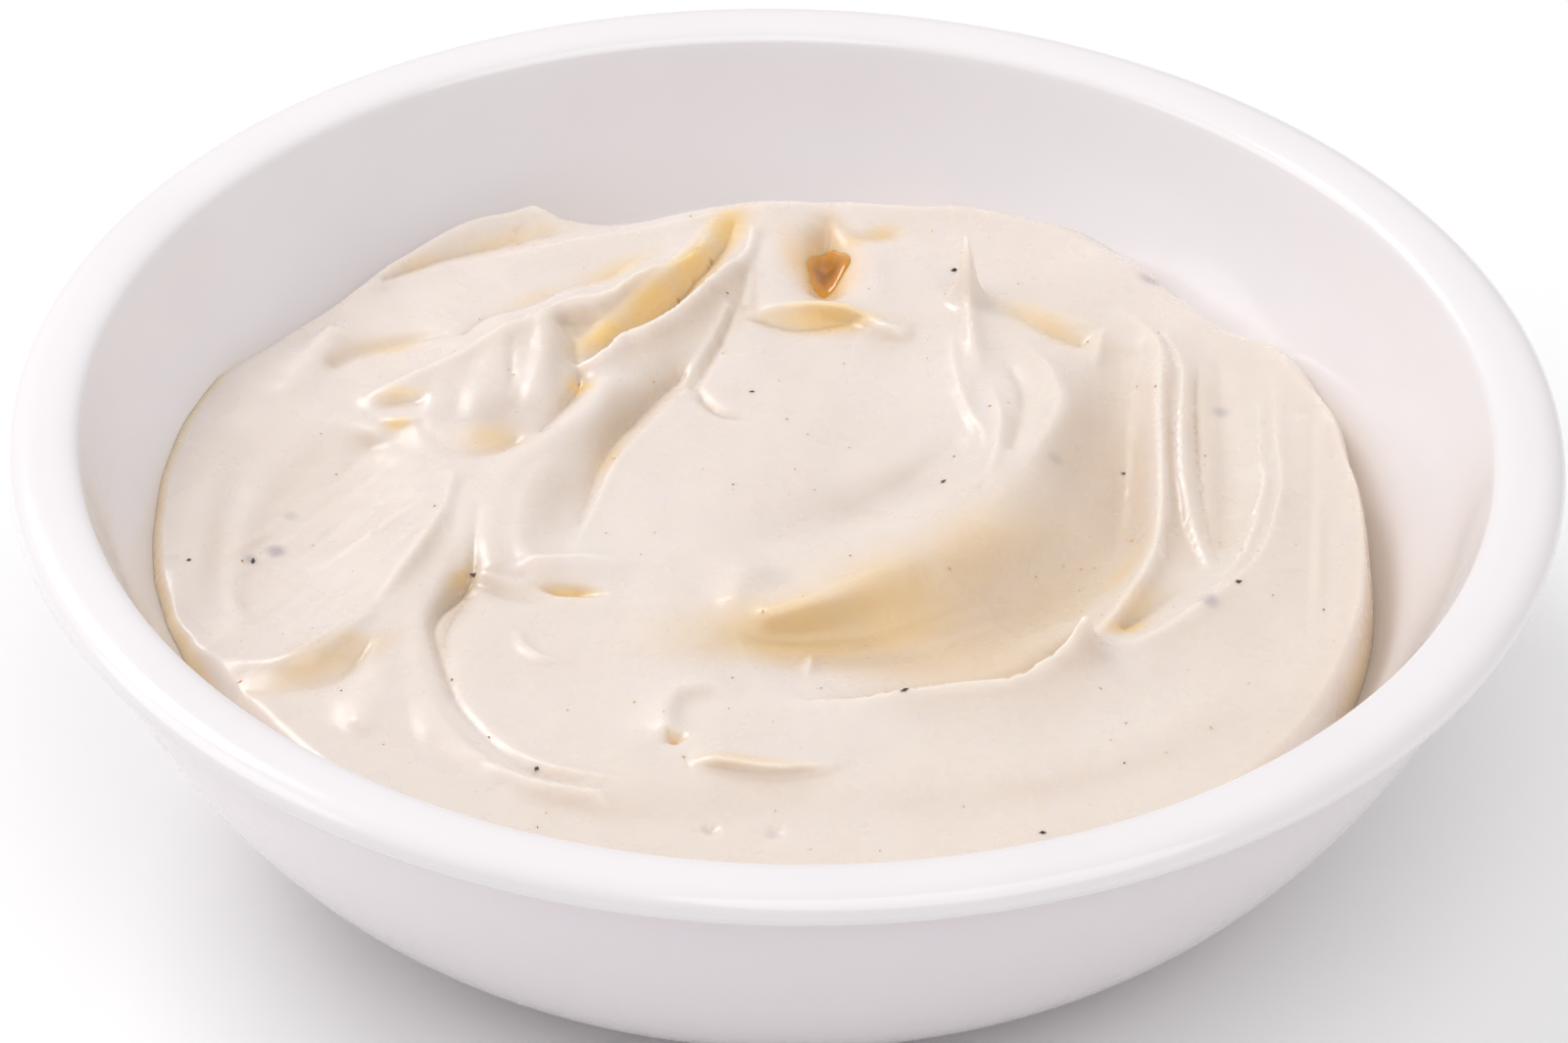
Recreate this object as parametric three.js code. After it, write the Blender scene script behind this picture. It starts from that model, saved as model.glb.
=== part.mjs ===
// A small white stoneware bowl of mayonnaise, spooned and swirled on top.
// Millimetres, +Z up. The bowl stands on z = 0 and its axis is the Z axis.
// -Y is the near side, +Y the far side, +X the right.

import * as THREE from 'three';

// ---------------------------------------------------------------- bowl, main sizes

const BOWL_HEIGHT = 37;
const RIM_RADIUS = 65;
const RIM_CREST_RADIUS = 62.5;
const MOUTH_RADIUS = 59;
const MOUTH_DEPTH = 1;
const LIP_DROP = 1.6;
const GROOVE_RADIUS = 62;
const GROOVE_DEPTH = 4;
const BODY_BOTTOM_RADIUS = 35.5;
const BODY_BOTTOM_HEIGHT = 2.2;
const FOOT_OUTER_RADIUS = 34;
const FOOT_INNER_RADIUS = 30.4;
const FOOT_ROUNDING = 0.5;
const FOOT_RECESS = 1.8;
const FLOOR_HEIGHT = 6.2;
const BOWL_SEGMENTS = 72;

// inside of the wall, from the floor's edge to the mouth: [radius, height]
const WALL_LINE = [
  [22, 6.4], [36, 8.4], [45.5, 13.6], [52, 21.5], [56, 28.5], [59, 36],
];
const WALL_STEPS = 2;

// ---------------------------------------------------------------- mayonnaise, main sizes

const WALL_GAP = 0.3;
const TOP_RINGS = 34;
const SHOULDER_RINGS = 4;
const UNDERSIDE_RINGS = [132, 84, 48, 24, 12];
const BLEND_RADIUS = 12;
const CREST_ROUNDING = 0.25;
const EDGE_ROUNDING = 0.15;
const CURVE_STEPS = 6;
const CREST_CATCH = 0.5;
const PEAK_CATCH = 0.8;
const CREST_SHARPNESS = 1.3;

// The line where the mayonnaise meets the wall, all round:
// [angle in degrees from +X, height of the line, width of the rounded shoulder].
const RIM_LINE = [
  [-158, 20.8, 1.6], [-145, 20.6, 2.6], [-120, 21.2, 3], [-90, 21, 3], [-60, 20, 3],
  [-38, 19.4, 2.2], [-20, 19, 1.6], [0, 18.9, 1.5], [12, 19.6, 1.6], [23, 21.8, 2.2],
  [33, 23.2, 3], [40, 21.4, 4.5], [47, 22, 4.5], [54, 23.4, 4], [62, 24.2, 3],
  [74, 23.4, 2.6], [88, 22.4, 2.6], [97, 21.8, 2.6], [104, 21, 2.6], [111, 20.8, 2.6],
  [118, 22.4, 2.6], [125, 23.2, 2.6], [133, 22.6, 2.6], [141, 22, 2.6], [150, 23.2, 2.6],
  [158, 24.4, 2], [165, 24.4, 1.6], [172, 24.1, 1.2], [180, 23.6, 1.1], [188, 23.4, 1],
  [194, 22.8, 1], [198, 21.8, 1.2], [202, 20.8, 1.6],
];

// Lines that the spoon left in the surface, each with its height along the way:
// [x, y, z]. Between them the surface runs over smoothly from one to the next.
// A low sharpness gives a crease or a cusp, a high one a rounded back or hollow.
// The reach is how wide the line holds the surface at its own height, left and
// right of the way it is drawn.
const STROKES = [
  {
    name: 'back lobe crest', sharpness: 1.6, reachLeft: 2.5, reachRight: 4,
    line: [
      [-51, 19.2, 24.8], [-49, 21.9, 25.1], [-45, 24.5, 25.3], [-41.6, 26.8, 25.5],
      [-38, 32.3, 26.1], [-35.6, 36.7, 26.7], [-31, 41.2, 27.3], [-27, 44.5, 27.8],
      [-24, 45.1, 27.8], [-21.3, 43.3, 27], [-19.5, 42, 26.6],
    ],
  },
  {
    name: 'back gutter', sharpness: 1.3, reachLeft: 3, reachRight: 1.2,
    line: [
      [-45.4, 29, 23.6], [-40.5, 34.2, 23.8], [-36.2, 38.6, 24], [-31.5, 42.6, 24.2],
      [-27, 45, 24], [-22.5, 45.6, 23.4], [-16, 46.6, 22.9], [-10, 48.2, 23],
      [-5, 49, 23.6], [0, 49.8, 23.8], [6, 49.9, 23.6], [11, 49.9, 23.2],
    ],
  },
  {
    name: 'main lobe crest', sharpness: 1.5, reachLeft: 1.2, reachRight: 4,
    line: [
      [-36, 32.7, 25.8], [-33.5, 34.4, 26.2], [-30.5, 36, 26.5], [-26, 37.5, 26.8],
      [-22.5, 38.8, 26.9], [-19, 40.4, 26.9], [-15, 41.5, 27], [-10.6, 43.1, 27.1],
      [-5.5, 45.1, 27.1],
    ],
  },
  {
    name: 'furrow', sharpness: 1.4, reachLeft: 2, reachRight: 1.2,
    line: [
      [-36, 34.2, 25.5], [-33.5, 36, 25.6], [-30.3, 37.9, 25.8], [-25.8, 39.8, 26],
      [-22, 41, 26.2], [-19.6, 41.7, 26.5],
    ],
  },
  {
    name: 'left knob', sharpness: 2.2, reachLeft: 2.5, reachRight: 2.5,
    line: [
      [-43, 18.8, 25.7], [-41.5, 22.6, 26.2], [-40.2, 25.7, 26.5],
    ],
  },
  {
    name: 'left dip', sharpness: 2, reachLeft: 1.5, reachRight: 1.5,
    line: [
      [-39.4, 21.7, 25.1], [-36.5, 24.1, 25.1], [-33.4, 25.3, 25.3], [-30.6, 25.6, 25.8],
    ],
  },
  {
    name: 'fold back foot', sharpness: 1.2, reachLeft: 3, reachRight: 1,
    line: [
      [-28.4, 25.7, 25.8], [-26.5, 28.1, 26], [-22.8, 30, 26.3], [-20, 32.8, 26.2],
      [-16.6, 34.4, 26.2], [-15, 36.3, 26.4], [-13, 38.1, 26.7], [-10.4, 39.3, 27],
    ],
  },
  {
    name: 'fold line', sharpness: 1.1, reachLeft: 0.9, reachRight: 2.8,
    line: [
      [-35.8, 17.2, 25.9], [-33, 19.1, 26.4], [-30.4, 20.7, 26.9], [-28, 22.5, 27.1],
      [-26, 24.5, 27.5], [-22.3, 26.7, 27.9], [-19.6, 28.7, 28.1], [-16, 29.8, 28.3],
      [-14.3, 31.9, 28.4], [-12.6, 33.9, 28.4], [-10, 35.4, 28.3], [-8.4, 38, 28],
      [-7.2, 43.4, 27.3],
    ],
  },
  {
    name: 'slit slope', sharpness: 2, reachLeft: 1.6, reachRight: 1.4,
    line: [
      [-7.6, 42.2, 27.2], [-9.1, 38.2, 27.6], [-11, 34.7, 27.8], [-12.9, 31.8, 27.6],
      [-14.9, 29.2, 27.2], [-16.7, 26.9, 26.8], [-18.3, 25.3, 26.4],
    ],
  },
  {
    name: 'slit floor', sharpness: 1, reachLeft: 1.2, reachRight: 1,
    line: [
      [-5.3, 43.4, 25.8], [-5.8, 41, 25], [-7, 37.8, 24.5], [-8.6, 34.6, 24.3],
      [-10, 31.9, 24.3], [-11.8, 29.3, 24.4], [-13.6, 27.1, 24.6], [-15.8, 24.7, 25],
      [-17.6, 22.4, 25.6],
    ],
  },
  {
    name: 'slit lower lip', sharpness: 1.1, reachLeft: 2.6, reachRight: 0.7,
    line: [
      [-3.6, 42.3, 27.4], [-3.9, 39.3, 27.8], [-4.6, 37.3, 28], [-6, 34.9, 28.1],
      [-7.5, 32.5, 28.1], [-8.6, 30.3, 28.1], [-10.1, 28, 28], [-12.2, 25.8, 27.9],
      [-14.6, 24.3, 27.7], [-15.7, 22.6, 27.4], [-17.1, 21.4, 27], [-18.4, 21.1, 26.6],
    ],
  },
  {
    name: 'broad fold', sharpness: 2, reachLeft: 2.5, reachRight: 2.2,
    line: [
      [-15.8, 18.1, 26.9], [-17.2, 15, 26.6], [-19.8, 11.4, 26.2], [-22.6, 8, 25.9],
      [-24.2, 4.8, 25.7], [-24.6, 0.9, 25.6], [-24.6, -2.8, 25.4], [-24.3, -5.9, 25.1],
    ],
  },
  {
    name: 'broad fold right', sharpness: 1.8, reachLeft: 1.8, reachRight: 2,
    line: [
      [-21.2, 7.3, 25.7], [-22.2, 3.8, 25.7], [-22.6, -0.1, 25.6], [-22.4, -3.3, 25.4],
      [-21.4, -5.7, 25.3],
    ],
  },
  {
    name: 'left trough', sharpness: 1.2, reachLeft: 1.5, reachRight: 1.5,
    line: [
      [-9.3, 21.3, 24.4], [-11, 19, 24.2], [-13, 15.6, 24.1], [-14.8, 12.7, 23.9],
      [-16, 8.9, 23.9], [-16.8, 4.6, 24.1], [-17.4, 0.1, 24.4],
    ],
  },
  {
    name: 'plateau edge', sharpness: 1.2, reachLeft: 3, reachRight: 0.7,
    line: [
      [-8.9, 19.3, 25.4], [-10.3, 16.6, 25.4], [-12.3, 13.2, 25.3], [-13.9, 10.4, 25.2],
      [-15.2, 6.9, 25.1], [-16, 3.4, 24.9], [-17, -0.6, 24.9], [-17.6, -3.6, 24.9],
    ],
  },
  {
    name: 'upper trough', sharpness: 1.4, reachLeft: 1.2, reachRight: 1.2,
    line: [
      [-3.9, 36.1, 26.2], [-4.3, 32.5, 25.9], [-5.2, 29.1, 25.5], [-6.1, 25.5, 25.2],
      [-7.4, 21.8, 25], [-8.3, 19.8, 24.8],
    ],
  },
  {
    name: 'upper trough ridge', sharpness: 1.3, reachLeft: 1, reachRight: 1.2,
    line: [
      [-5.4, 30.5, 27], [-6.6, 26.7, 26.5], [-7.9, 23.2, 26.1], [-9, 20.4, 25.6],
    ],
  },
  {
    name: 'upper trough bank', sharpness: 1.2, reachLeft: 3, reachRight: 0.7,
    line: [
      [-3.1, 35.1, 26.2], [-3.4, 31.4, 26], [-4.6, 27.7, 25.8], [-5.6, 24.4, 25.6],
      [-6.9, 21.1, 25.5], [-7.4, 18.9, 25.3], [-6.4, 16.8, 25.2],
    ],
  },
  {
    name: 'hump back', sharpness: 2, reachLeft: 3.5, reachRight: 3.5,
    line: [
      [-24.6, 24.9, 27.8], [-25.2, 21.9, 27.4], [-25.8, 19, 27], [-26.2, 16, 26.6],
      [-26.2, 13.5, 25.9],
    ],
  },
  {
    name: 'hump right back', sharpness: 2, reachLeft: 2.6, reachRight: 2.2,
    line: [
      [-21.4, 25.9, 28.1], [-21.3, 22.9, 27.8], [-21.5, 19.9, 27.4], [-22, 17.1, 26.9],
      [-22.8, 14.7, 26.1],
    ],
  },
  {
    name: 'hump left back', sharpness: 2, reachLeft: 3, reachRight: 3,
    line: [
      [-28.3, 22.5, 27.1], [-29.4, 19.4, 26.7], [-30.2, 16.4, 26.3], [-30.4, 13.8, 25.7],
    ],
  },
  {
    name: 'flap top', sharpness: 1.6, reachLeft: 1.5, reachRight: 2.2,
    line: [
      [-35.6, 16.9, 25.7], [-33.6, 17.5, 26], [-31.8, 18.4, 26.3], [-30.2, 19.7, 26.7],
    ],
  },
  {
    name: 'hump right foot', sharpness: 1.2, reachLeft: 1.2, reachRight: 0.8,
    line: [
      [-19.7, 26, 27.3], [-18.9, 24, 26.2], [-18.5, 21, 25.6], [-18.2, 18.7, 24.7],
      [-19.6, 15.3, 25], [-21.2, 12, 25.2],
    ],
  },
  {
    name: 'hump front foot', sharpness: 2, reachLeft: 1.5, reachRight: 1.5,
    line: [
      [-31.8, 13.4, 25.3], [-30.6, 10.6, 25.2], [-28.4, 9.3, 25.1], [-25.6, 9.3, 25],
      [-23.4, 10.5, 25.1],
    ],
  },
  {
    name: 'plateau', sharpness: 2.2, reachLeft: 6, reachRight: 6,
    line: [
      [-10, 3.4, 24.9], [-7, 9.1, 25.1], [-1, 16.1, 25.1], [1, 24, 25.2],
    ],
  },
  {
    name: 'plateau right', sharpness: 2.2, reachLeft: 5, reachRight: 5,
    line: [
      [9, 25.1, 25.1], [9, 17.4, 24.9], [8, 11.6, 24.8],
    ],
  },
  {
    name: 'plateau low', sharpness: 2, reachLeft: 4, reachRight: 4,
    line: [
      [-14, -1.3, 24.7], [-9, -7.4, 24.8], [-9, -13.1, 24.6],
    ],
  },
  {
    name: 'centre fold', sharpness: 1.4, reachLeft: 1.4, reachRight: 1.5,
    line: [
      [-4, 30.7, 25.7], [-1, 31, 26.3], [2, 31.1, 26.7], [5, 30.9, 26.7],
      [6.8, 30.1, 26.4], [8.2, 29.1, 26.1], [9.6, 28.6, 25.8], [11, 28.3, 25.4],
    ],
  },
  {
    name: 'centre fold foot', sharpness: 1.2, reachLeft: 1, reachRight: 2.5,
    line: [
      [-3.5, 29.6, 25.4], [-1, 29, 25], [1.5, 29, 24.8], [4, 29.8, 24.8],
      [6.4, 30.3, 24.9], [8, 29.2, 25.3],
    ],
  },
  {
    name: 'pit floor', sharpness: 2, reachLeft: 2.4, reachRight: 2.4,
    line: [
      [3.1, 35.3, 24], [3, 38.1, 23.7], [3.1, 40.5, 23.7], [3.2, 42.3, 24],
      [3.3, 43.6, 24.8], [3.4, 44.8, 25.6],
    ],
  },
  {
    name: 'pit left bank', sharpness: 1.8, reachLeft: 2.5, reachRight: 2.5,
    line: [
      [-2.6, 33.3, 26.4], [-3.2, 37.5, 26.6], [-2.2, 41.8, 26.6],
    ],
  },
  {
    name: 'pit right bank', sharpness: 1.8, reachLeft: 2.5, reachRight: 2.5,
    line: [
      [7.6, 33.9, 26], [7.6, 37.2, 26.1], [7, 39.9, 26],
    ],
  },
  {
    name: 'back ridge', sharpness: 1.6, reachLeft: 1.6, reachRight: 3.5,
    line: [
      [-2.5, 46.3, 27], [0.5, 46.9, 26.8], [3, 47.2, 26.5],
    ],
  },
  {
    name: 'back ridge right', sharpness: 1.6, reachLeft: 2, reachRight: 3,
    line: [
      [5.2, 47.5, 26.5], [10, 47.6, 26.3], [14, 47.7, 26], [19, 47.4, 25.5],
      [25, 45.1, 25.1],
    ],
  },
  {
    name: 'back ridge foot', sharpness: 1.6, reachLeft: 1.5, reachRight: 2.5,
    line: [
      [4.6, 44.8, 25.6], [6.4, 43.5, 25.3], [8.8, 43.7, 25.4],
    ],
  },
  {
    name: 'back right slope', sharpness: 2, reachLeft: 5, reachRight: 5,
    line: [
      [11, 38, 25.9], [19, 36.9, 26], [27, 35.2, 25.8], [32, 35.3, 25.3],
    ],
  },
  {
    name: 'back dip edge', sharpness: 1.5, reachLeft: 2.5, reachRight: 1.2,
    line: [
      [17.8, 33.9, 26], [22, 32.1, 26], [26, 30, 25.9],
    ],
  },
  {
    name: 'back dip', sharpness: 1.6, reachLeft: 1.6, reachRight: 2,
    line: [
      [20, 31.4, 25.5], [21.8, 29.9, 25.3], [23.8, 28.7, 25], [25.6, 27.8, 24.8],
    ],
  },
  {
    name: 'spike ridge', sharpness: 1.5, reachLeft: 2.6, reachRight: 1.2,
    line: [
      [15.6, 33.7, 26.1], [15.6, 29.6, 26.2], [15.6, 25.7, 26.1], [15.6, 22, 25.9],
      [15.8, 18.9, 25.6],
    ],
  },
  {
    name: 'second strand', sharpness: 1.1, reachLeft: 1.2, reachRight: 0.8,
    line: [
      [17.8, 19.5, 25.9], [18.3, 15.9, 26], [18.2, 12.9, 26], [17.9, 10, 25.9],
      [17.2, 7.2, 25.8], [16.4, 4.9, 25.6],
    ],
  },
  {
    name: 'strand valley', sharpness: 1.8, reachLeft: 1.4, reachRight: 1.4,
    line: [
      [18.8, 24.2, 25.8], [20.2, 19.6, 25.5], [20, 14.9, 25.6], [19.3, 10.9, 25.7],
    ],
  },
  {
    name: 'swirl crest', sharpness: 1.7, reachLeft: 2.6, reachRight: 5,
    line: [
      [20.8, 26.4, 25.9], [22.6, 22.5, 26.4], [23.6, 17.8, 26.6], [23, 14.2, 26.6],
      [21.4, 10.2, 26.5], [19.8, 6.3, 26.4], [17.5, 2.2, 26.3], [14, -1.4, 26.2],
      [10.5, -4.7, 26.1], [7, -7.9, 26], [3, -10.6, 25.8], [-1, -12.1, 25.3],
    ],
  },
  {
    name: 'swirl inner valley', sharpness: 1.6, reachLeft: 3, reachRight: 3,
    line: [
      [13.6, 11.9, 24.6], [10, 7.4, 24.2], [6, 4.6, 24.1], [2, 2.1, 24.3],
      [-2.5, -1.7, 24.6],
    ],
  },
  {
    name: 'swirl left end', sharpness: 1.8, reachLeft: 2.5, reachRight: 2.5,
    line: [
      [-3.6, -7, 25.6], [-4, -10.3, 25.4],
    ],
  },
  {
    name: 'scoop foot', sharpness: 1.3, reachLeft: 0.7, reachRight: 3,
    line: [
      [24.4, -13.5, 23.6], [21.4, -16.3, 22.9], [18.4, -18.5, 22.8], [14.5, -19.5, 22.9],
      [10.5, -20.8, 23.2], [6, -22.5, 24],
    ],
  },
  {
    name: 'channel left rim', sharpness: 1.4, reachLeft: 1.2, reachRight: 1.6,
    line: [
      [27.6, 28.9, 26], [27.1, 25.9, 26], [26.8, 23.8, 25.5],
    ],
  },
  {
    name: 'deep channel', sharpness: 1.8, reachLeft: 4, reachRight: 4,
    line: [
      [29, 26, 25.2], [28.8, 18, 24.5], [28.6, 9.4, 23.5], [28, 2.4, 22.8],
      [26, -2.7, 22.5], [22.5, -7.5, 22.4], [17, -11.4, 22.3], [11, -12.9, 22.3],
      [5, -13.4, 22.5], [0, -14.1, 22.9], [-3.5, -15, 23.8],
    ],
  },
  {
    name: 'right ridge', sharpness: 1.3, reachLeft: 1.4, reachRight: 2.2,
    line: [
      [29.2, 32.4, 25.8], [31.6, 29.2, 26.3], [32.6, 24.9, 26.7], [32.4, 20.6, 26.9],
      [32.2, 15.6, 26.9], [32.1, 8.7, 26.8], [31.8, 1, 26.6], [30.9, -4.7, 26.4],
      [29, -9.8, 26.2], [27, -13.5, 26], [26.2, -14.9, 25.7],
    ],
  },
  {
    name: 'right ridge shelf', sharpness: 1.3, reachLeft: 2.2, reachRight: 0.5,
    line: [
      [33, 27.8, 26.4], [34.1, 22.9, 26.7], [33.8, 16.7, 26.8], [33.6, 8.9, 26.7],
      [33.9, 3.3, 26.4], [34.6, -1.3, 26.1], [35.4, -4.6, 25.8],
    ],
  },
  {
    name: 'second channel wall', sharpness: 1.4, reachLeft: 2, reachRight: 0.5,
    line: [
      [35.7, 23.8, 25.7], [35.3, 18.7, 25.4], [35.2, 10.9, 25.3], [35.4, 5, 25.2],
      [35.8, 0, 25.2], [36.3, -3.5, 25.3],
    ],
  },
  {
    name: 'second channel', sharpness: 1.8, reachLeft: 2.4, reachRight: 2.4,
    line: [
      [37.6, 24.7, 25.4], [37.6, 19.1, 25.1], [37.6, 11.4, 24.9], [37.4, 4.6, 24.8],
      [37, -1.3, 25],
    ],
  },
  {
    name: 'second channel end', sharpness: 1.3, reachLeft: 1, reachRight: 1.2,
    line: [
      [34.6, -6.7, 25.4], [32.2, -9.3, 25], [30.2, -11.5, 24.7], [28.4, -13, 24.2],
    ],
  },
  {
    name: 'outer ridge inner', sharpness: 1.3, reachLeft: 2.5, reachRight: 0.5,
    line: [
      [40.7, 18.4, 25.6], [40.5, 10.3, 25.7], [40.7, 6.8, 25.9], [40, 3, 25.9],
      [39, -1.4, 25.9], [38, -4.2, 25.8], [36.6, -6.3, 25.7],
    ],
  },
  {
    name: 'outer ridge', sharpness: 1.3, reachLeft: 3.2, reachRight: 1.2,
    line: [
      [42.2, 20.4, 25.6], [42, 13.2, 25.8], [42.2, 7.3, 26], [41.6, 3.3, 26],
      [40.4, -2.1, 26], [38.4, -6.1, 26], [35.9, -9.5, 26], [33, -12.8, 25.9],
      [29.8, -15.4, 25.6], [26.8, -16.6, 25.3],
    ],
  },
  {
    name: 'outer right slope', sharpness: 2, reachLeft: 5, reachRight: 6,
    line: [
      [43.8, 24.9, 25.3], [45.6, 13, 25.2], [46, 1.3, 25], [45, -9.3, 24.7],
      [41, -17.9, 24.4],
    ],
  },
  {
    name: 'front ridge', sharpness: 1, reachLeft: 5, reachRight: 0.7,
    line: [
      [24.4, -16.9, 26.7], [22.4, -19.2, 26.6], [20.4, -20.9, 26.4], [18.3, -22.2, 26.2],
      [14.5, -22.9, 26.1], [10.5, -23.4, 25.8], [6, -24.1, 25.4], [2, -24.1, 25],
    ],
  },
  {
    name: 'front shelf', sharpness: 2, reachLeft: 6, reachRight: 6,
    line: [
      [33, -21.3, 24.7], [22, -29.3, 24.7], [10, -30.3, 24.7], [-1, -29.9, 24.8],
      [-12, -33.4, 24.8],
    ],
  },
  {
    name: 'front slope', sharpness: 2, reachLeft: 6, reachRight: 6,
    line: [
      [42, -25, 23.8], [31, -32.7, 23.6], [15, -38.6, 23.5], [0, -40.6, 23.5],
      [-15, -38.9, 23.7], [-28, -33.6, 24.2], [-37, -28.2, 24.3], [-40, -26.6, 24.2],
    ],
  },
  {
    name: 'crease left bank', sharpness: 1.6, reachLeft: 1.2, reachRight: 4,
    line: [
      [-27.6, 3.9, 25.3], [-27.9, -1, 25.2], [-28.2, -5.9, 25.1], [-29.2, -10.5, 25.2],
      [-30.2, -15.3, 25.4], [-30, -19.3, 25.4], [-29, -23, 25.2], [-27.8, -26.7, 25],
      [-25.5, -30.1, 24.9], [-22.6, -33, 24.8], [-19, -34.9, 24.8], [-14.5, -36, 24.8],
    ],
  },
  {
    name: 'crease low side', sharpness: 1.5, reachLeft: 3, reachRight: 1,
    line: [
      [-26.4, -9.9, 23.9], [-27.5, -13.3, 24], [-27.9, -16.7, 24.3], [-26.9, -21.5, 24.5],
      [-25.7, -25.7, 24.6], [-23.5, -29.3, 24.8], [-20.5, -32.1, 24.8], [-17, -33.8, 24.9],
      [-13, -34.8, 24.9],
    ],
  },
  {
    name: 'impression', sharpness: 2.2, reachLeft: 6, reachRight: 6,
    line: [
      [-18, -13.4, 24.1], [-19, -19.4, 24.1], [-15, -26.9, 24.4],
    ],
  },
  {
    name: 'fold front foot', sharpness: 1.3, reachLeft: 2, reachRight: 2,
    line: [
      [-25.6, -8.3, 24], [-24, -9.5, 23.9], [-22, -10.3, 23.9], [-20, -10.5, 24],
    ],
  },
  {
    name: 'fold front face', sharpness: 1.8, reachLeft: 1.5, reachRight: 1.5,
    line: [
      [-25, -7.2, 24.9], [-23.4, -8, 24.8], [-21.8, -8.3, 24.6],
    ],
  },
  {
    name: 'scoop lip upper', sharpness: 1.2, reachLeft: 2, reachRight: 2,
    line: [
      [-28.4, 5.7, 25.8], [-28.7, 2.5, 25.9], [-29.5, -1, 25.9], [-30.7, -5, 25.9],
      [-32.1, -8.8, 25.8], [-33.7, -12.6, 25.8],
    ],
  },
  {
    name: 'scoop lip', sharpness: 1.4, reachLeft: 1.6, reachRight: 2.5,
    line: [
      [-34.3, -14.1, 25.7], [-35.2, -15.6, 25.8], [-37, -18, 25.8], [-39.3, -20, 25.5],
      [-42.5, -20.2, 24.9], [-46, -19.4, 24.2], [-48.4, -17.9, 23.3],
    ],
  },
  {
    name: 'lip foot', sharpness: 1.6, reachLeft: 2.2, reachRight: 1.8,
    line: [
      [-33.9, -17.4, 25.2], [-34.8, -19.7, 24.6], [-36.4, -21.9, 24.3], [-38.8, -22.9, 24.1],
      [-42, -23.7, 24], [-44.8, -22.7, 23.7],
    ],
  },
  {
    name: 'left bank', sharpness: 2.2, reachLeft: 4, reachRight: 4,
    line: [
      [-32.4, -16.3, 25.4], [-33.2, -22.1, 25.3], [-34.2, -27.7, 25],
    ],
  },
  {
    name: 'scoop floor', sharpness: 2, reachLeft: 6, reachRight: 6,
    line: [
      [-36, 10.7, 24], [-39, 4.7, 23.3], [-42, -3, 23.1], [-44, -10.4, 23.4],
    ],
  },
  {
    name: 'scoop wall foot', sharpness: 2, reachLeft: 2.5, reachRight: 2.5,
    line: [
      [-45.6, 9, 24.5], [-46.2, 3.4, 24.2], [-46.6, -3.3, 24], [-46.4, -9.1, 23.9],
      [-45, -14.1, 23.9],
    ],
  },
  {
    name: 'outer left ridge', sharpness: 2, reachLeft: 3, reachRight: 3,
    line: [
      [-50.2, 12.4, 24.9], [-50.3, 5.1, 25.1], [-50.3, -0.7, 25], [-50.1, -6.3, 24.7],
      [-49.8, -10.6, 24.2], [-49.2, -14.1, 23.5],
    ],
  },
  {
    name: 'left shoulder', sharpness: 2, reachLeft: 4, reachRight: 4,
    line: [
      [-45, 14.5, 25.2], [-39.5, 15.1, 25.1], [-35.5, 12.7, 25.1],
    ],
  },
];

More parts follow.
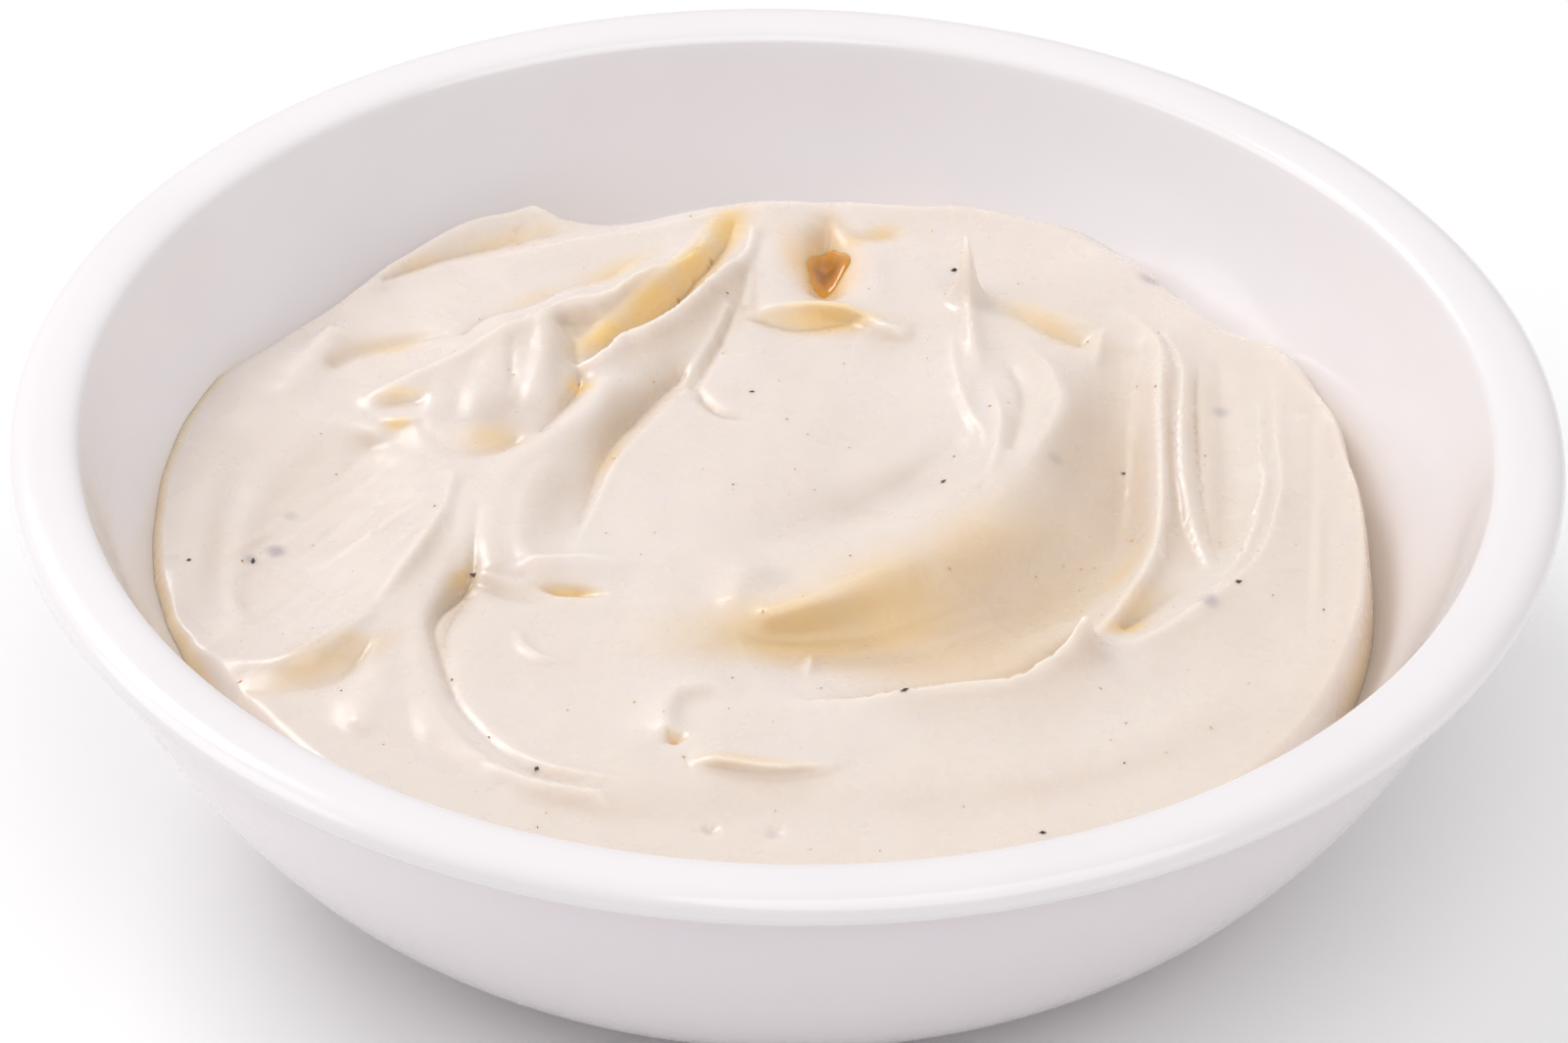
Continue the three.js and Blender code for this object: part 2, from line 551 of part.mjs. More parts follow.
// Thin edges, notches and folds on top of that: [x, y, share of the height].
// The lean pushes an edge over to the left of its way.
const EDGES = [
  {
    name: 'right ridge edge', height: 0.15, widthLeft: 0.7, widthRight: 0.7, power: 1.2, lean: 0,
    line: [
      [31.6, 29.2, 0], [32.6, 24.9, 1], [32.4, 20.6, 1], [32.2, 15.6, 1],
      [32.1, 8.7, 1], [31.8, 1, 1], [30.9, -4.7, 1], [29, -9.8, 1],
      [27, -13.5, 0.8], [26.2, -14.9, 0],
    ],
  },
  {
    name: 'fold line edge', height: 0.5, widthLeft: 0.5, widthRight: 1.2, power: 1.2, lean: 0,
    line: [
      [-35.8, 16.6, 0.4], [-33, 18.4, 1], [-30.4, 20, 0.8], [-28, 21.7, 0.8],
      [-26, 23.7, 0.9], [-22.3, 26.1, 0.8], [-19.6, 28.1, 1], [-16, 29.4, 0.9],
      [-14.3, 31.4, 1], [-12.6, 33.4, 0.8], [-10, 35.3, 0.3], [-8, 37.8, 0],
    ],
  },
  {
    name: 'slit lip edge', height: 0.35, widthLeft: 0.8, widthRight: 0.4, power: 1.2, lean: 0,
    line: [
      [-3.9, 39, 0.2], [-6, 34.6, 1], [-8.6, 30, 0.9], [-12.2, 25.5, 1],
      [-14.6, 24, 0.9], [-17.1, 21.1, 0.6], [-18.4, 21.1, 0],
    ],
  },
  {
    name: 'outer ridge edge', height: 0.3, widthLeft: 0.9, widthRight: 0.9, power: 1.4, lean: 0,
    line: [
      [40.5, 10.2, 0], [40.7, 6.7, 0.8], [40, 2.9, 0.5], [38, -4.5, 0.8],
      [35.9, -9.5, 1], [33, -12.8, 1], [29.8, -15.4, 1], [26.8, -16.6, 0.5],
    ],
  },
  {
    name: 'spike ridge edge', height: 0.6, widthLeft: 0.8, widthRight: 0.6, power: 1.2, lean: 0,
    line: [
      [15.7, 34.5, 0.8], [15.8, 29.7, 1], [16.2, 26.2, 0.9], [16.5, 23.6, 0.5],
      [16.4, 20.9, 0],
    ],
  },
  {
    name: 'spike left line', height: 0.35, widthLeft: 0.5, widthRight: 0.3, power: 1.2, lean: 0,
    line: [
      [14.3, 28.9, 0], [14.2, 25.9, 0.8], [14.5, 22.2, 1], [15, 19.3, 1],
      [15.8, 16.1, 1], [16.8, 13.4, 0.8], [16.9, 10.7, 0],
    ],
  },
  {
    name: 'second strand edge', height: 0.4, widthLeft: 0.6, widthRight: 0.5, power: 1.2, lean: 0,
    line: [
      [17.6, 20, 0.1], [18.3, 15.6, 1], [18.2, 12.6, 1], [17.9, 9.7, 1],
      [17.2, 6.9, 0.7], [16.4, 4.9, 0],
    ],
  },
  {
    name: 'swirl crest edge', height: 0.35, widthLeft: 0.9, widthRight: 0.9, power: 1.3, lean: 0,
    line: [
      [20.8, 26.3, 0.2], [22.6, 22.4, 0.9], [23.6, 17.5, 1], [23, 13.9, 1],
      [21.4, 9.9, 0.7], [19.8, 6.3, 0],
    ],
  },
  {
    name: 'front peak', height: 0.6, widthLeft: 0.9, widthRight: 0.9, power: 1.2, lean: 0,
    line: [
      [25.2, -16.1, 1], [24.4, -17.4, 0.9], [22.4, -19.2, 0.3], [20.4, -20.9, 0],
    ],
  },
  {
    name: 'front edge', height: 0.4, widthLeft: 0.9, widthRight: 0.4, power: 1.2, lean: 0,
    line: [
      [24.2, -17.3, 0.6], [22.4, -19.4, 0.8], [20.4, -20.9, 1], [18.3, -22.2, 1],
      [14.5, -22.9, 1], [10.5, -23.4, 0.8], [6, -24.1, 0],
    ],
  },
  {
    name: 'centre fold edge', height: 0.5, widthLeft: 1.2, widthRight: 0.6, power: 1.2, lean: -0.2,
    line: [
      [-3, 30.8, 0], [-1, 30.9, 0.7], [2, 30.9, 1], [5, 30.7, 1],
      [6.8, 30, 1], [8.2, 29, 1], [9.6, 28.4, 0.8], [11, 28.2, 0],
    ],
  },
  {
    name: 'tongue', height: 0.8, widthLeft: 0.6, widthRight: 2.4, power: 1.2, lean: 0,
    line: [
      [-22, -6.5, 0.3], [-20.4, -6.1, 1], [-18, -5.6, 1], [-15.4, -5.5, 0.7],
      [-12.6, -6.1, 0],
    ],
  },
  {
    name: 'tongue hollow', height: -0.7, widthLeft: 0.5, widthRight: 0.45, power: 1.4, lean: 0,
    line: [
      [-20.6, -8.6, 0.2], [-19, -9, 1], [-17, -9.1, 1], [-15.6, -9.4, 0.4],
      [-14.4, -9.5, 0],
    ],
  },
  {
    name: 'small flap', height: 0.45, widthLeft: 0.9, widthRight: 0.45, power: 1.2, lean: -0.3,
    line: [
      [-34.8, 14, 0.6], [-33.4, 13.8, 1], [-31.8, 13.9, 0.5], [-30.6, 13.9, 0],
    ],
  },
  {
    name: 'upper flap', height: 0.3, widthLeft: 0.9, widthRight: 0.5, power: 1.2, lean: 0,
    line: [
      [-36, 17, 0.4], [-34.6, 16.7, 1], [-32.6, 16.7, 0.8], [-30.9, 17.2, 0],
    ],
  },
  {
    name: 'flap hollow', height: -0.25, widthLeft: 0.4, widthRight: 0.5, power: 1.4, lean: 0,
    line: [
      [-35, 15.8, 0.3], [-33.8, 15.9, 1], [-32, 16, 0.8], [-31, 16.1, 0],
    ],
  },
  {
    name: 'finger line', height: -0.22, widthLeft: 0.3, widthRight: 0.35, power: 1.3, lean: 0,
    line: [
      [-24.2, 23.3, 0.6], [-24.2, 20.5, 1], [-24.1, 18.2, 0.8], [-24.3, 16.3, 0],
    ],
  },
  {
    name: 'strip crease', height: -0.5, widthLeft: 0.5, widthRight: 0.6, power: 1.3, lean: 0,
    line: [
      [-20.6, 25.8, 0.2], [-19.4, 26.2, 1], [-17.8, 26.9, 0.9], [-16.6, 27.4, 0],
    ],
  },
  {
    name: 'low lobe', height: 0.7, widthLeft: 0.8, widthRight: 2, power: 1.4, lean: 0,
    line: [
      [-3, -23, 0], [-6, -22.1, 0.8], [-8.4, -22.9, 1], [-9.4, -25.2, 1],
      [-9.2, -27.9, 0.8], [-8.6, -29.3, 0],
    ],
  },
  {
    name: 'low lip', height: 0.9, widthLeft: 2, widthRight: 0.5, power: 1.2, lean: -0.4,
    line: [
      [-7.4, -32.3, 0], [-5, -32.3, 1], [-1, -32.7, 1], [2.5, -32.3, 0.7],
      [6, -31.3, 0],
    ],
  },
  {
    name: 'crease notch', height: -0.8, widthLeft: 0.4, widthRight: 0.4, power: 1.3, lean: 0,
    line: [
      [-26.2, 1.6, 0.1], [-26.2, -3.1, 0.3], [-26.1, -6.4, 0.7], [-26.5, -8.3, 1.2],
      [-27.4, -10.3, 1.3], [-28.5, -12.8, 1], [-28.9, -15.3, 0.9], [-28.4, -18.1, 0.7],
      [-27.5, -21.7, 0.55], [-26.4, -25.1, 0.4], [-24.4, -28.4, 0.35], [-22.2, -31, 0.3],
      [-19.2, -33.5, 0.3], [-15, -35.1, 0],
    ],
  },
  {
    name: 'bank groove', height: -0.12, widthLeft: 0.9, widthRight: 0.9, power: 1.6, lean: 0,
    line: [
      [-31.8, -17.7, 0], [-31.5, -21.2, 1], [-31, -24.7, 0.7], [-30.2, -27.9, 1],
      [-29.2, -31.1, 0.3],
    ],
  },
  {
    name: 'streak a', height: 0.28, widthLeft: 0.5, widthRight: 0.5, power: 1.4, lean: 0,
    line: [
      [-30.2, 3.1, 0.4], [-33, 0.1, 1], [-36.5, -3.3, 1], [-40, -6.6, 0],
    ],
  },
  {
    name: 'streak b', height: 0.3, widthLeft: 0.45, widthRight: 0.7, power: 1.4, lean: 0,
    line: [
      [-29.2, -0.3, 0.3], [-30.8, -4.8, 1], [-32.6, -9.4, 1], [-33.6, -12.4, 0],
    ],
  },
  {
    name: 'streak c', height: 0.3, widthLeft: 0.5, widthRight: 0.8, power: 1.4, lean: 0,
    line: [
      [-34.4, -13.4, 0.3], [-37, -16.4, 1], [-39.6, -19.2, 1], [-42, -20.8, 0],
    ],
  },
  {
    name: 'hook line', height: -0.5, widthLeft: 0.5, widthRight: 0.5, power: 1.3, lean: 0,
    line: [
      [-8.1, 20.2, 0], [-7.3, 17.7, 1], [-5.6, 15.9, 1], [-3.2, 15.4, 0.3],
    ],
  },
  {
    name: 'small mark', height: 0.35, widthLeft: 0.35, widthRight: 0.5, power: 1.3, lean: 0,
    line: [
      [-21.9, -15, 0.5], [-21.3, -16.8, 1], [-19.8, -18.3, 1], [-18.6, -18.5, 0.3],
    ],
  },
  {
    name: 'scoop flick', height: 0.5, widthLeft: 0.4, widthRight: 0.4, power: 1.2, lean: 0,
    line: [
      [2.5, -15, 0], [2.3, -17.3, 1], [2, -19.8, 0],
    ],
  },
];

// Small single forms: the drawn-up peak, the pit and a few pock marks.
const PEAKS = [
  { name: 'spike', x: 15.6, y: 33.4, height: 5, radius: 0.85, power: 1.5, leanX: -0.2, leanY: 2.2 },
  { name: 'front peak tip', x: 25, y: -17.2, height: 2.1, radius: 0.9, power: 1.3, leanX: 0.1, leanY: 0.4 },
  { name: 'dimple a', x: -5.4, y: -39.2, height: -0.4, radius: 0.5, power: 2, leanX: 0, leanY: 0 },
  { name: 'dimple b', x: -0.2, y: -39.4, height: -0.3, radius: 0.6, power: 2, leanX: 0, leanY: 0 },
  { name: 'yellow dot', x: -8.5, y: -29, height: -0.7, radius: 0.6, power: 2, leanX: 0, leanY: 0 },
];

// ---------------------------------------------------------------- shared helpers

function clamp(value, low, high) {
  return Math.min(high, Math.max(low, value));
}

function mix(a, b, share) {
  return a + (b - a) * share;
}

// A smooth line through the given points, as a list of points.
function smoothLine(points, steps = CURVE_STEPS) {
  const first = points[0];
  const last = points[points.length - 1];
  const before = first.map((v, k) => 2 * v - points[1][k]);
  const after = last.map((v, k) => 2 * v - points[points.length - 2][k]);
  const all = [before, ...points, after];
  const line = [];
  for (let i = 1; i < all.length - 2; i += 1) {
    const [a, b, c, d] = [all[i - 1], all[i], all[i + 1], all[i + 2]];
    for (let step = 0; step < steps; step += 1) {
      const t = step / steps;
      line.push(b.map((v, k) => 0.5 * (
        2 * b[k] + (c[k] - a[k]) * t
        + (2 * a[k] - 5 * b[k] + 4 * c[k] - d[k]) * t * t
        + (3 * b[k] - a[k] - 3 * c[k] + d[k]) * t * t * t)));
    }
  }
  line.push(last);
  return line;
}

// The nearest place on a line: where and how far it is, on which side of it the
// point lies (+1 left, -1 right), the line's third value and its direction there.
function nearestOnLine(line, x, y) {
  let best = { squared: Infinity };
  for (let i = 0; i < line.length - 1; i += 1) {
    const [ax, ay, av] = line[i];
    const dx = line[i + 1][0] - ax;
    const dy = line[i + 1][1] - ay;
    const lengthSquared = dx * dx + dy * dy;
    const t = clamp(((x - ax) * dx + (y - ay) * dy) / lengthSquared, 0, 1);
    const ex = x - ax - t * dx;
    const ey = y - ay - t * dy;
    const squared = ex * ex + ey * ey;
    if (squared < best.squared) {
      const length = Math.sqrt(lengthSquared);
      best = {
        squared,
        x: ax + t * dx,
        y: ay + t * dy,
        side: (dx * ey - dy * ex) / length,
        value: mix(av, line[i + 1][2], t),
        alongX: dx / length,
        alongY: dy / length,
      };
    }
  }
  const distance = Math.sqrt(best.squared);
  return { ...best, distance, side: best.side / Math.max(distance, 1e-9) };
}

// Triangles between two rings of points that may have different counts.
function stitchRings(inner, outer, triangles) {
  let i = 0;
  let j = 0;
  while (i < inner.count || j < outer.count) {
    const a = inner.start + (i % inner.count);
    const b = outer.start + (j % outer.count);
    const outerTurn = j < outer.count
      && (i >= inner.count || (j + 1) * inner.count <= (i + 1) * outer.count);
    if (outerTurn) {
      triangles.push(a, b, outer.start + ((j + 1) % outer.count));
      j += 1;
    } else {
      if (inner.count > 1) triangles.push(a, b, inner.start + ((i + 1) % inner.count));
      i += 1;
    }
  }
}

function named(name, geometry, material) {
  const mesh = new THREE.Mesh(geometry, material);
  mesh.name = name;
  return mesh;
}

// ---------------------------------------------------------------- bowl

// The inside of the wall and the floor, from the axis out to the mouth.
function insideLine() {
  const points = [[0, FLOOR_HEIGHT], ...WALL_LINE].map(([r, z]) => [r, z, 0]);
  return smoothLine(points, WALL_STEPS).map(([r, z]) => new THREE.Vector2(Math.max(r, 0), z));
}

function bezierPoints(corners, steps) {
  const curve = new THREE.CubicBezierCurve(...corners.map(([r, z]) => new THREE.Vector2(r, z)));
  return curve.getPoints(steps).slice(1);
}

// Over the rounded rim, round the lip and into the groove under it.
function rimLine() {
  const mouth = [MOUTH_RADIUS, BOWL_HEIGHT - MOUTH_DEPTH];
  const crest = [RIM_CREST_RADIUS, BOWL_HEIGHT];
  const lip = [RIM_RADIUS, BOWL_HEIGHT - LIP_DROP];
  const groove = [GROOVE_RADIUS, BOWL_HEIGHT - GROOVE_DEPTH];
  return [
    ...bezierPoints([mouth, [mouth[0] + 0.4, BOWL_HEIGHT], [crest[0] - 1.2, BOWL_HEIGHT], crest], 3),
    ...bezierPoints([crest, [crest[0] + 1.5, BOWL_HEIGHT], [RIM_RADIUS, lip[1] + 0.9], lip], 3),
    ...bezierPoints([lip, [RIM_RADIUS, lip[1] - 1.4], [groove[0] + 0.3, groove[1] + 1.4], groove], 3),
  ];
}

// Down the outside and round the foot ring to the axis.
function outsideLine() {
  const groove = [GROOVE_RADIUS, BOWL_HEIGHT - GROOVE_DEPTH];
  const bottom = [BODY_BOTTOM_RADIUS, BODY_BOTTOM_HEIGHT];
  const body = bezierPoints([groove, [61, 26.9], [50.1, bottom[1]], bottom], 8);
  const foot = [
    [FOOT_OUTER_RADIUS + 0.3, BODY_BOTTOM_HEIGHT - 0.5],
    [FOOT_OUTER_RADIUS, FOOT_ROUNDING],
    [FOOT_OUTER_RADIUS - FOOT_ROUNDING, 0],
    [FOOT_INNER_RADIUS + FOOT_ROUNDING, 0],
    [FOOT_INNER_RADIUS, FOOT_ROUNDING],
    [FOOT_INNER_RADIUS - FOOT_ROUNDING, FOOT_RECESS],
    [0, FOOT_RECESS],
  ];
  return [...body, ...foot.map(([r, z]) => new THREE.Vector2(r, z))];
}

function bowl() {
  const profile = [...insideLine(), ...rimLine(), ...outsideLine()].reverse();
  const geometry = new THREE.LatheGeometry(profile, BOWL_SEGMENTS);
  geometry.rotateX(Math.PI / 2);
  const glaze = new THREE.MeshStandardMaterial({ color: 0xeeeaec, roughness: 0.2, metalness: 0 });
  return named('bowl', geometry, glaze);
}

// ---------------------------------------------------------------- mayonnaise

const strokes = STROKES.map((stroke) => ({ ...stroke, line: smoothLine(stroke.line) }));
const edges = EDGES.map((edge) => ({ ...edge, line: smoothLine(edge.line) }));

// Height and shoulder width of the line on the wall at an angle.
function rimAt(angle) {
  let degrees = THREE.MathUtils.radToDeg(angle);
  if (degrees < RIM_LINE[0][0]) degrees += 360;
  let i = 0;
  while (i < RIM_LINE.length - 2 && degrees >= RIM_LINE[i + 1][0]) i += 1;
  const [from, to] = [RIM_LINE[i], RIM_LINE[i + 1]];
  const t = THREE.MathUtils.smoothstep(degrees, from[0], to[0]);
  return { height: mix(from[1], to[1], t), shoulder: mix(from[2], to[2], t) };
}

// The spooned surface: a mean of the lines' heights, each weighted by its nearness.
function spoonedHeight(x, y) {
  let sum = 0;
  let weights = 0;
  for (const stroke of strokes) {
    const near = nearestOnLine(stroke.line, x, y);
    const reach = mix(stroke.reachRight, stroke.reachLeft, 0.5 + 0.5 * near.side);
    const soft = Math.hypot(near.distance, CREST_ROUNDING);
    const fade = Math.exp(-((near.distance / BLEND_RADIUS) ** 2));
    const weight = (reach / soft) ** stroke.sharpness * fade + 1e-9;
    sum += weight * near.value;
    weights += weight;
  }
  return sum / weights;
}

// What the thin edges and the small forms add: a height and a sideways shift.
function smallForms(x, y) {
  const add = { x: 0, y: 0, z: 0 };
  for (const edge of edges) {
    const near = nearestOnLine(edge.line, x, y);
    const width = mix(edge.widthRight, edge.widthLeft, 0.5 + 0.5 * near.side);
    const away = Math.hypot(near.distance, EDGE_ROUNDING) - EDGE_ROUNDING;
    const share = Math.max(near.value, 0) * Math.exp(-((away / width) ** edge.power));
    add.z += edge.height * share;
    add.x -= edge.lean * share * near.alongY;
    add.y += edge.lean * share * near.alongX;
  }
  for (const peak of PEAKS) {
    const distance = Math.hypot(x - peak.x, y - peak.y);
    const away = Math.hypot(distance, EDGE_ROUNDING) - EDGE_ROUNDING;
    const share = Math.exp(-((away / peak.radius) ** peak.power));
    add.z += peak.height * share;
    add.x += peak.leanX * share * share;
    add.y += peak.leanY * share * share;
  }
  return add;
}

// A point close to a crest, a crease or a peak is moved onto it, so that the facets keep it.
function settle(x, y) {
  for (const peak of PEAKS) {
    if (Math.hypot(x - peak.x, y - peak.y) < PEAK_CATCH) return [peak.x, peak.y];
  }
  const sharp = strokes.filter((stroke) => stroke.sharpness <= CREST_SHARPNESS);
  for (const { line } of [...edges, ...sharp]) {
    const near = nearestOnLine(line, x, y);
    if (near.distance < CREST_CATCH) return [near.x, near.y];
  }
  return [x, y];
}

// The inside of the wall, moved in by the gap, with its length along the way.
function linerLine() {
  const wall = insideLine();
  const line = wall.map((p, i) => {
    const a = wall[Math.max(i - 1, 0)];
    const b = wall[Math.min(i + 1, wall.length - 1)];
    const along = b.clone().sub(a).normalize();
    const r = i === 0 ? 0 : Math.max(p.x - along.y * WALL_GAP, 0);
    return { r, z: p.y + along.x * WALL_GAP };
  });
  let length = 0;
  line.forEach((p, i) => {
    if (i > 0) length += Math.hypot(p.r - line[i - 1].r, p.z - line[i - 1].z);
    p.length = length;
  });
  return line;
}

// A place on that line, found by its height or by its length.
function placeOn(line, key, value) {
  let i = 0;
  while (i < line.length - 2 && line[i + 1][key] < value) i += 1;
  const t = clamp((value - line[i][key]) / (line[i + 1][key] - line[i][key]), 0, 1);
  return {
    r: mix(line[i].r, line[i + 1].r, t),
    z: mix(line[i].z, line[i + 1].z, t),
    length: mix(line[i].length, line[i + 1].length, t),
  };
}

// Shares of the radius for the rings: even, then closer round the shoulder.
function ringShares() {
  const even = TOP_RINGS - 2;
  const shares = [];
  for (let k = 1; k <= even; k += 1) shares.push({ ring: k / even, shoulder: 0 });
  for (let k = 1; k <= SHOULDER_RINGS; k += 1) shares.push({ ring: 1, shoulder: k / SHOULDER_RINGS });
  return shares;
}

function mayonnaise() {
  const liner = linerLine();
  const positions = [];
  const rings = [];

  const addRing = (count, pointAt) => {
    rings.push({ start: positions.length / 3, count });
    for (let j = 0; j < count; j += 1) {
      const turn = (2 * Math.PI * j) / count;
      const p = pointAt(Math.atan2(Math.sin(turn), Math.cos(turn)));
      positions.push(p.x, p.y, p.z);
    }
  };

  // one place of the top, by angle and by its share of the way out
  const topPoint = (angle, share) => {
    const rim = rimAt(angle);
    const contact = placeOn(liner, 'z', rim.height);
    const bend = share.shoulder * (Math.PI / 2);
    const flat = contact.r - rim.shoulder;
    const r = share.shoulder > 0 ? flat + rim.shoulder * Math.sin(bend) : flat * share.ring;
    const rise = share.shoulder > 0 ? Math.cos(bend) ** 2 : 1;
    const place = [r * Math.cos(angle), r * Math.sin(angle)];
    const [x, y] = share.shoulder > 0 ? place : settle(...place);
    const small = smallForms(x, y);
    const height = spoonedHeight(x, y) + small.z;
    return { x: x + small.x * rise, y: y + small.y * rise, z: mix(contact.z, height, rise) };
  };

  addRing(1, (angle) => topPoint(angle, { ring: 0, shoulder: 0 }));
  ringShares().forEach((share, k) => {
    const count = Math.min(6 * (k + 1), 6 * TOP_RINGS);
    addRing(count, (angle) => topPoint(angle, share));
  });
  const topRings = rings.length;

  // the underside follows the wall from the contact line in to the axis
  UNDERSIDE_RINGS.forEach((count, k) => {
    const share = 1 - (k + 1) / (UNDERSIDE_RINGS.length + 1);
    addRing(count, (angle) => {
      const contact = placeOn(liner, 'z', rimAt(angle).height);
      const place = placeOn(liner, 'length', contact.length * share);
      return { x: place.r * Math.cos(angle), y: place.r * Math.sin(angle), z: place.z };
    });
  });
  addRing(1, () => ({ x: 0, y: 0, z: liner[0].z }));

  const triangles = [];
  for (let k = 0; k < topRings - 1; k += 1) stitchRings(rings[k], rings[k + 1], triangles);
  const under = [];
  for (let k = rings.length - 1; k >= topRings; k -= 1) stitchRings(rings[k], rings[k - 1], under);
  for (let i = 0; i < under.length; i += 3) triangles.push(under[i], under[i + 2], under[i + 1]);

  const geometry = new THREE.BufferGeometry();
  geometry.setAttribute('position', new THREE.Float32BufferAttribute(positions, 3));
  geometry.setIndex(triangles);
  geometry.computeVertexNormals();
  const cream = new THREE.MeshStandardMaterial({ color: 0xf3e7d6, roughness: 0.35, metalness: 0 });
  return named('mayonnaise', geometry, cream);
}

// ---------------------------------------------------------------- the whole

const dish = new THREE.Group();
dish.name = 'bowl_of_mayonnaise';
dish.add(bowl());
dish.add(mayonnaise());

export default dish;
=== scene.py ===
"""A small white glazed bowl of mayonnaise, spooned and swirled on top.

Sizes are millimetres in the tables and metres in the scene. The camera looks from
-Y, +X is to its right and the bowl stands on z = 0.
"""
import math
import random
from collections import namedtuple

import bpy
import numpy as np
from mathutils import Matrix, Vector


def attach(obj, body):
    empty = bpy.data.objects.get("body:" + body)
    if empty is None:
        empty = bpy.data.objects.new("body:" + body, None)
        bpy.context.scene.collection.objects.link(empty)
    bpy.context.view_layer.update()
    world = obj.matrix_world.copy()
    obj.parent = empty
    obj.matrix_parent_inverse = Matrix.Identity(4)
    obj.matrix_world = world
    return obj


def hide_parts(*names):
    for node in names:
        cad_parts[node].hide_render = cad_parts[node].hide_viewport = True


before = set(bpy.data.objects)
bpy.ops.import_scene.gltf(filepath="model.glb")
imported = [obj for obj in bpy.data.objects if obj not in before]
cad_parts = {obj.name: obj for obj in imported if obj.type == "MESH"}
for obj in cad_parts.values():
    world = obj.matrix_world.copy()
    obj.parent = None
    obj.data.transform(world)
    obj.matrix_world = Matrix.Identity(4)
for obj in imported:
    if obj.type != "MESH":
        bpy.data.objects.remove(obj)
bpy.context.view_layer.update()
MM = 0.001
TINY = 1e-9

# ---- bowl

BOWL_HEIGHT = 37.0
RIM_RADIUS = 65.0
RIM_CREST_RADIUS = 62.5
MOUTH_RADIUS = 59.0
MOUTH_DEPTH = 1.0
LIP_DROP = 1.6
GROOVE_RADIUS = 62.0
GROOVE_DEPTH = 4.0
BODY_BOTTOM_RADIUS = 35.5
BODY_BOTTOM_HEIGHT = 2.2
# how far the rim's curves are pulled beyond their end points
MOUTH_PULL = 0.4
CREST_PULLS = (1.2, 1.5)
LIP_PULLS = (0.9, 1.4)
GROOVE_PULL = (0.3, 1.4)
BODY_CURVE_HIGH = (61, 26.9)
BODY_CURVE_LOW_RADIUS = 50.1
FOOT_OUTER_RADIUS = 34.0
FOOT_INNER_RADIUS = 30.4
FOOT_ROUNDING = 0.5
FOOT_SHOULDER = (0.3, 0.5)
FOOT_RECESS = 1.8
FLOOR_HEIGHT = 6.2
RIM_STEPS = 14
GROOVE_STEPS = 12
BODY_STEPS = 40
BOWL_SEGMENTS = 288
BOWL_WALL_LEAST = 1.5
GLAZE_CHANGE = 3.0

# inside of the wall, from the floor's edge to the mouth: (radius, height)
WALL_LINE = [(22, 6.4), (36, 8.4), (45.5, 13.6), (52, 21.5), (56, 28.5), (59, 36)]
WALL_STEPS = 12

# ---- mayonnaise, main form

RING_SPACING = 0.3
RING_POINTS = 6
USUAL_LEVEL = 22.0
SHOULDER_RINGS = 12
UNDERSIDE_RINGS = 10
UNDERSIDE_LEAST = 12
WALL_OVERLAP = 0.05
BLEND_RADIUS = 12.0
CREST_ROUNDING = 0.25
EDGE_ROUNDING = 0.15
EDGE_REACH = 6
CURVE_STEPS = 6
# Points this near to a sharp line are drawn on to it.
CREST_SHARPNESS = 1.25
CREST_CATCH = 0.45 * RING_SPACING

Stroke = namedtuple("Stroke", "name sharpness left right line")
Edge = namedtuple("Edge", "name height left right power lean line")
Peak = namedtuple("Peak", "name x y height radius power lean_x lean_y")
Streak = namedtuple("Streak", "x y size_x size_y angle long wide height seed")

# The line where the mayonnaise meets the wall, all round:
# (angle in degrees from +X, height of the line, width of the rounded shoulder).
RIM_LINE = [
    (-158, 20.8, 1.6), (-145, 20.6, 2.6), (-120, 21.2, 3), (-90, 21, 3), (-60, 20, 3),
    (-38, 19.4, 2.2), (-20, 19, 1.6), (0, 18.9, 1.5), (12, 19.6, 1.6), (23, 21.8, 2.2),
    (33, 23.2, 3), (40, 21.4, 4.5), (47, 22, 4.5), (54, 23.4, 4), (62, 24.2, 3), (74, 23.4, 2.6),
    (88, 22.4, 2.6), (97, 21.8, 2.6), (104, 21, 2.6), (111, 20.8, 2.6), (118, 22.4, 2.6),
    (125, 23.2, 2.6), (133, 22.6, 2.6), (141, 22, 2.6), (150, 23.2, 2.6), (158, 24.4, 2),
    (165, 24.4, 1.6), (172, 24.1, 1.2), (180, 23.6, 1.1), (188, 23.4, 1), (194, 22.8, 1),
    (198, 21.8, 1.2), (202, 20.8, 1.6),
]

